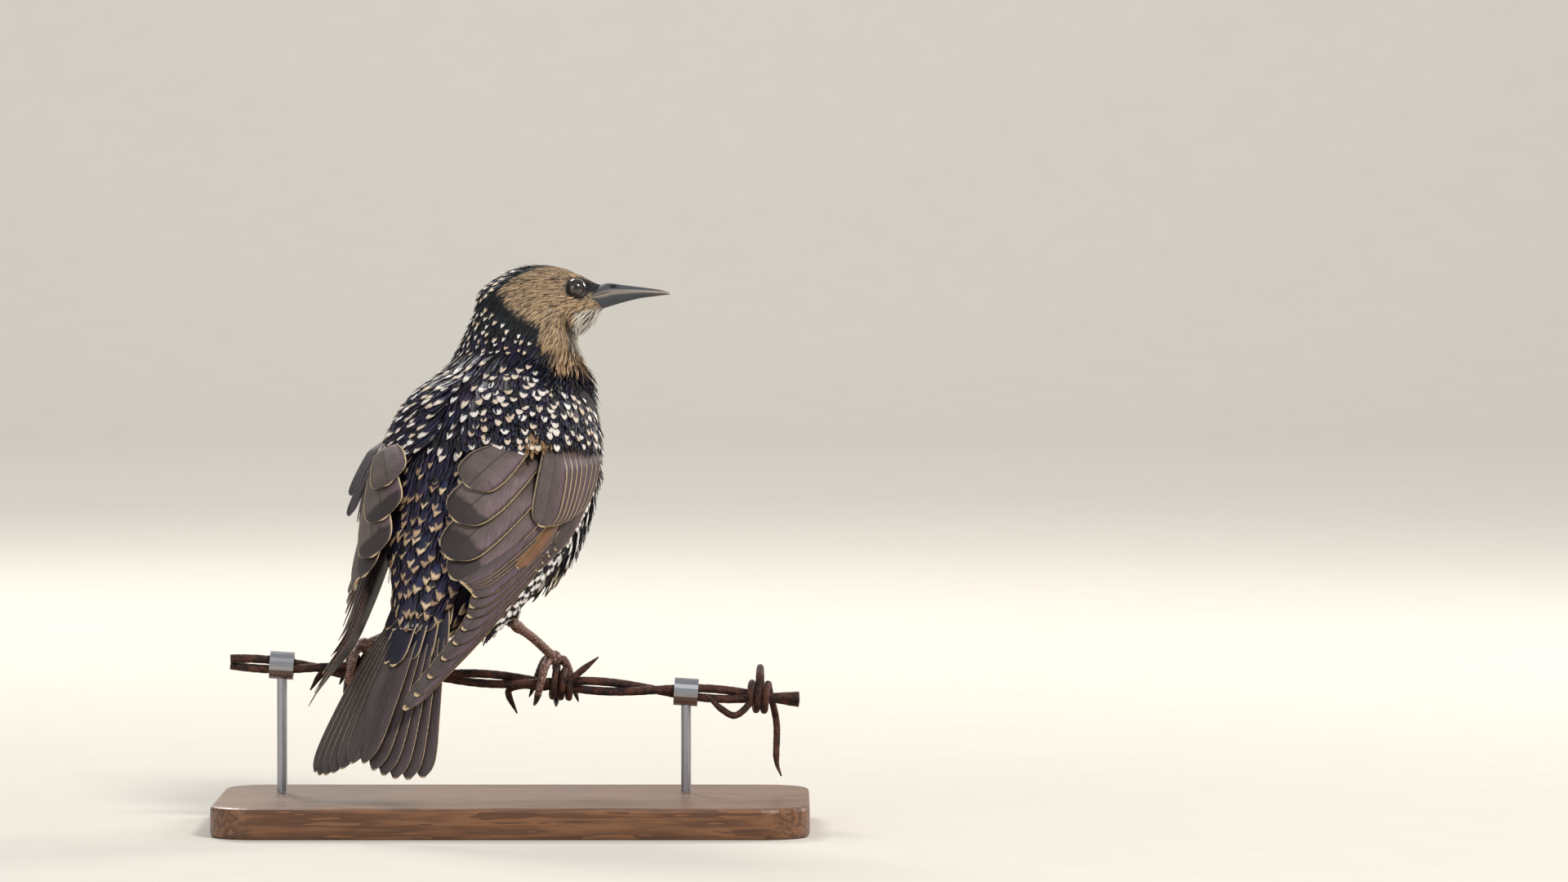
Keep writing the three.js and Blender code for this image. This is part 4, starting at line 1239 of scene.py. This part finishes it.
TOE = {"radius": 1.35, "claw": 0.95, "pad": 2.2}
SHANK = 1.3
OVER = BUNDLE + GAP + 2 * BARB["radius"]
FEET = [("right", 11.5, (0, -8, 60)), ("left", -44, (-24, 3, 60))]
TOES = [
    ("hind", -1.5, -6, -8, -118, -168),
    ("inner", -2, -7.5, 10, 92, 135),
    ("middle", 0.5, 0.5, 10, 128, 170),
    ("outer", 2.5, 7, 10, 98, 140),
]
LEG = scaly_material()
CLAW = mottled("claw_horn", colour(26, 22, 20), colour(74, 60, 50), 900.0, 0.35, 0.2)


def toe_path(x, first, last, start, claw, begin, finish, count):
    turn = np.linspace(begin, finish, count)
    share = (turn - start) / (claw - start)
    return round_wire(x + first + (last - first) * share, turn, OVER + 2 * GAP + TOE["radius"])


for name, x, ankle in FEET:
    pad = round_wire(x, 0, OVER + GAP + TOE["pad"])
    toes = []
    for toe, first, last, start, end, claw in TOES:
        path = toe_path(x, first, last, start, claw, start, end, 40)
        t = np.linspace(0, 1, 40)
        joints = 1 + 0.1 * np.cos(t * 2 * np.pi * 3) ** 8 - 0.05 * np.sin(t * np.pi * 22) ** 2
        toes.append(rod(path, TOE["radius"] * (1 - 0.25 * t) * joints, 16))
        path = toe_path(x, first, last, start, claw, end + 0.04 * (claw - end), claw, 18)
        t = np.linspace(0, 1, 18)
        hooked = rod(path, TOE["claw"] * (1 - t) ** 0.7 + 0.08, 14)
        piece = mesh_of(f"claw_tip_{name}_{toe}", *hooked, CLAW, "claw")
        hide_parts(f"claw_{name}_{toe}")
    rise = np.linspace(0.05, math.pi - 0.05, 16)
    turn = np.linspace(0, 2 * math.pi, 21)[:-1]
    circle = np.stack([np.cos(turn), np.sin(turn), 0 * turn], -1)
    up = np.array([0, 0, 1.0])
    toes.append(skin_of([pad + TOE["pad"] * (np.sin(r) * circle + np.cos(r) * up) for r in rise]))
    piece = mesh_of(f"toes_{name}", *joined(toes), LEG, "leg")
    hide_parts("foot_" + name)
    ankle = np.array(ankle, float)
    bend = (ankle + pad) / 2 + [0, -0.6, 0.6]
    inside = TRUNK.point((1 if name == "right" else -1) * 13, -20, -14)
    above, below = unit(inside - ankle), unit(bend - ankle)
    path = curve_through([ankle + above * 5, ankle + above * 1.2, ankle + below * 1.2, bend, pad], 46)
    t = np.linspace(0, 1, 46)
    scutes = 1 + 0.06 * np.abs(np.sin(t * np.pi * 13)) + 0.35 * np.exp(-(((t - 0.24) / 0.07) ** 2))
    piece = mesh_of(f"shank_{name}", *rod(path, SHANK * scutes, 18), LEG, "leg")
    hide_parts("tarsus_" + name)

RUST = wire_material()
for number, phase in ((1, 90), (2, 270)):
    x = np.linspace(-WIRE["half"], WIRE["half"], 240)
    path = round_wire(x, 360 * (x - WIRE["crossing"]) / WIRE["pitch"] + phase, STRAND_ORBIT)
    rough = WIRE["strand"] * (1 + 0.02 * np.sin(x * 1.9 + phase) + 0.015 * random.normal(0, 1, len(x)))
    piece = mesh_of(f"strand_{number}", *rod(path, rough, 18), RUST, "wire")
    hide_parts(f"wire_strand_{number}")

UNDER_TOES = [[-6, 3.7, -1.4], [-11, 3.9, -0.8]]
BARBS = [
    ("left", -45, 110, 0, UNDER_TOES + [[-15, 4.2, -6]], [[7, -4.5, -4]]),
    ("middle", 13.5, 110, 0, UNDER_TOES + [[-15.5, 4.5, -2.5], [-13, 4.5, -9]], [[11, -3, 8]]),
    ("right", 71.4, 240, 5, [[-7, -4, -5.2], [-11, -4.8, -3.3], [-16, -4.6, 1.2]],
     [[5, 4.8, -8], [5, 4.8, -19], [6.4, 4, -23.5]]),
]
for name, x, start, loose, first, last in BARBS:
    turns = np.arange(round(BARB["turns"] * 8) + 1) / 8
    angle = start + 360 * turns
    lift = np.where(np.abs(turns - 1.3) < 0.5, loose * np.maximum(0, np.cos(np.radians(angle))) ** 2, 0)
    along = x + (turns - BARB["turns"] / 2) * BARB["step"]
    coil = round_wire(along, angle, BUNDLE + GAP + BARB["radius"] + lift)
    middle = round_wire(x, 0, 0)
    path = curve_through(np.concatenate([middle + np.array(first[::-1]), coil, middle + np.array(last)]), 220)
    t = np.linspace(0, 1, 220)
    cut = np.minimum(1, 0.22 + 14 * np.minimum(t, 1 - t))
    rough = BARB["radius"] * cut * (1 + 0.02 * random.normal(0, 1, 220))
    piece = mesh_of(f"barb_{name}", *rod(path, rough, 14), RUST, "wire")
    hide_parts(f"wire_barb_{name}")

# Stand
CARRIED = {"stand_base": wood_material(), "stand_rod_left": steel_material()}
CARRIED["stand_rod_right"] = CARRIED["stand_rod_left"]
for name, material in CARRIED.items():
    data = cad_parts[name].data
    data.materials.clear()
    data.materials.append(material)

# Floor, light and camera

FLOOR = Nodes("pale_floor", Roughness=0.85)
grain = FLOOR.noise(FLOOR.place(), 40.0, 3.0)
FLOOR.finish(FLOOR.mix(grain, colour(216, 210, 198), colour(222, 217, 206)))
# The floor turns up into a wall behind the model. Metres.
SWEEP = {"near": -4.0, "bend": 3.2, "radius": 1.2, "top": 5.0, "half": 6.0}
sweep = [[SWEEP["near"], 0.0], [SWEEP["bend"], 0.0]]
for a in np.linspace(0.1, math.pi / 2, 16):
    sweep.append([SWEEP["bend"] + SWEEP["radius"] * math.sin(a), SWEEP["radius"] * (1 - math.cos(a))])
sweep.append([SWEEP["bend"] + SWEEP["radius"], SWEEP["top"]])
verts = [(x, y, z) for y, z in sweep for x in (-SWEEP["half"], SWEEP["half"])]
faces = [(2 * i, 2 * i + 1, 2 * i + 3, 2 * i + 2) for i in range(len(sweep) - 1)]
floor_mesh = bpy.data.meshes.new("floor")
floor_mesh.from_pydata(verts, [], faces)
floor_mesh.polygons.foreach_set("use_smooth", [True] * len(faces))
floor_mesh.materials.append(FLOOR.material)
floor = bpy.data.objects.new("floor", floor_mesh)
bpy.context.scene.collection.objects.link(floor)


def area_light(name, place, target, size, watts, tint):
    light = bpy.data.lights.new(name, "AREA")
    light.shape = "DISK"
    light.size = size
    light.energy = watts
    light.color = tint
    lamp = bpy.data.objects.new(name, light)
    lamp.location = place
    lamp.rotation_mode = "QUATERNION"
    lamp.rotation_quaternion = (Vector(place) - Vector(target)).to_track_quat("Z", "Y")
    bpy.context.scene.collection.objects.link(lamp)


AIM = (0.0, 0.01, 0.1)
SUN = (1.0, 0.97, 0.92)
area_light("key", (0.75, -1.1, 1.25), AIM, 0.4, 19, (1.0, 0.96, 0.9))
area_light("fill", (-1.2, -1.2, 0.6), AIM, 1.2, 5, (0.92, 0.96, 1.0))
area_light("rim", (-0.5, 1.3, 1.1), AIM, 0.5, 12, SUN)
area_light("rim_right", (1.1, 0.9, 0.7), AIM, 0.5, 9, SUN)
area_light("backdrop", (0.0, 1.8, 2.6), (0.0, 4.4, 0.9), 2.0, 45, (1.0, 0.98, 0.95))
world = bpy.data.worlds.new("studio")
world.use_nodes = True
world.node_tree.nodes["Background"].inputs["Color"].default_value = (0.86, 0.9, 1.0, 1.0)
world.node_tree.nodes["Background"].inputs["Strength"].default_value = 0.5
bpy.context.scene.world = world

# The photograph's width over its scale of 4.2 pixels to a millimetre
PHOTO_WIDTH_MM = 1920 / 4.2
LOOK_AT = Vector((0.0786, 0.012, 0.1119))
ELEVATION = math.radians(2)
DISTANCE = 2.6
camera = bpy.data.cameras.new("camera")
camera.lens = 36 * DISTANCE / (PHOTO_WIDTH_MM * MM)
camera.clip_start, camera.clip_end = 0.1, 30
eye = bpy.data.objects.new("camera", camera)
back = Vector((0, -math.cos(ELEVATION), math.sin(ELEVATION)))
eye.location = LOOK_AT + back * DISTANCE
eye.rotation_mode = "QUATERNION"
eye.rotation_quaternion = back.to_track_quat("Z", "Y")
bpy.context.scene.collection.objects.link(eye)
bpy.context.scene.camera = eye
bpy.context.scene.view_settings.view_transform = "Standard"
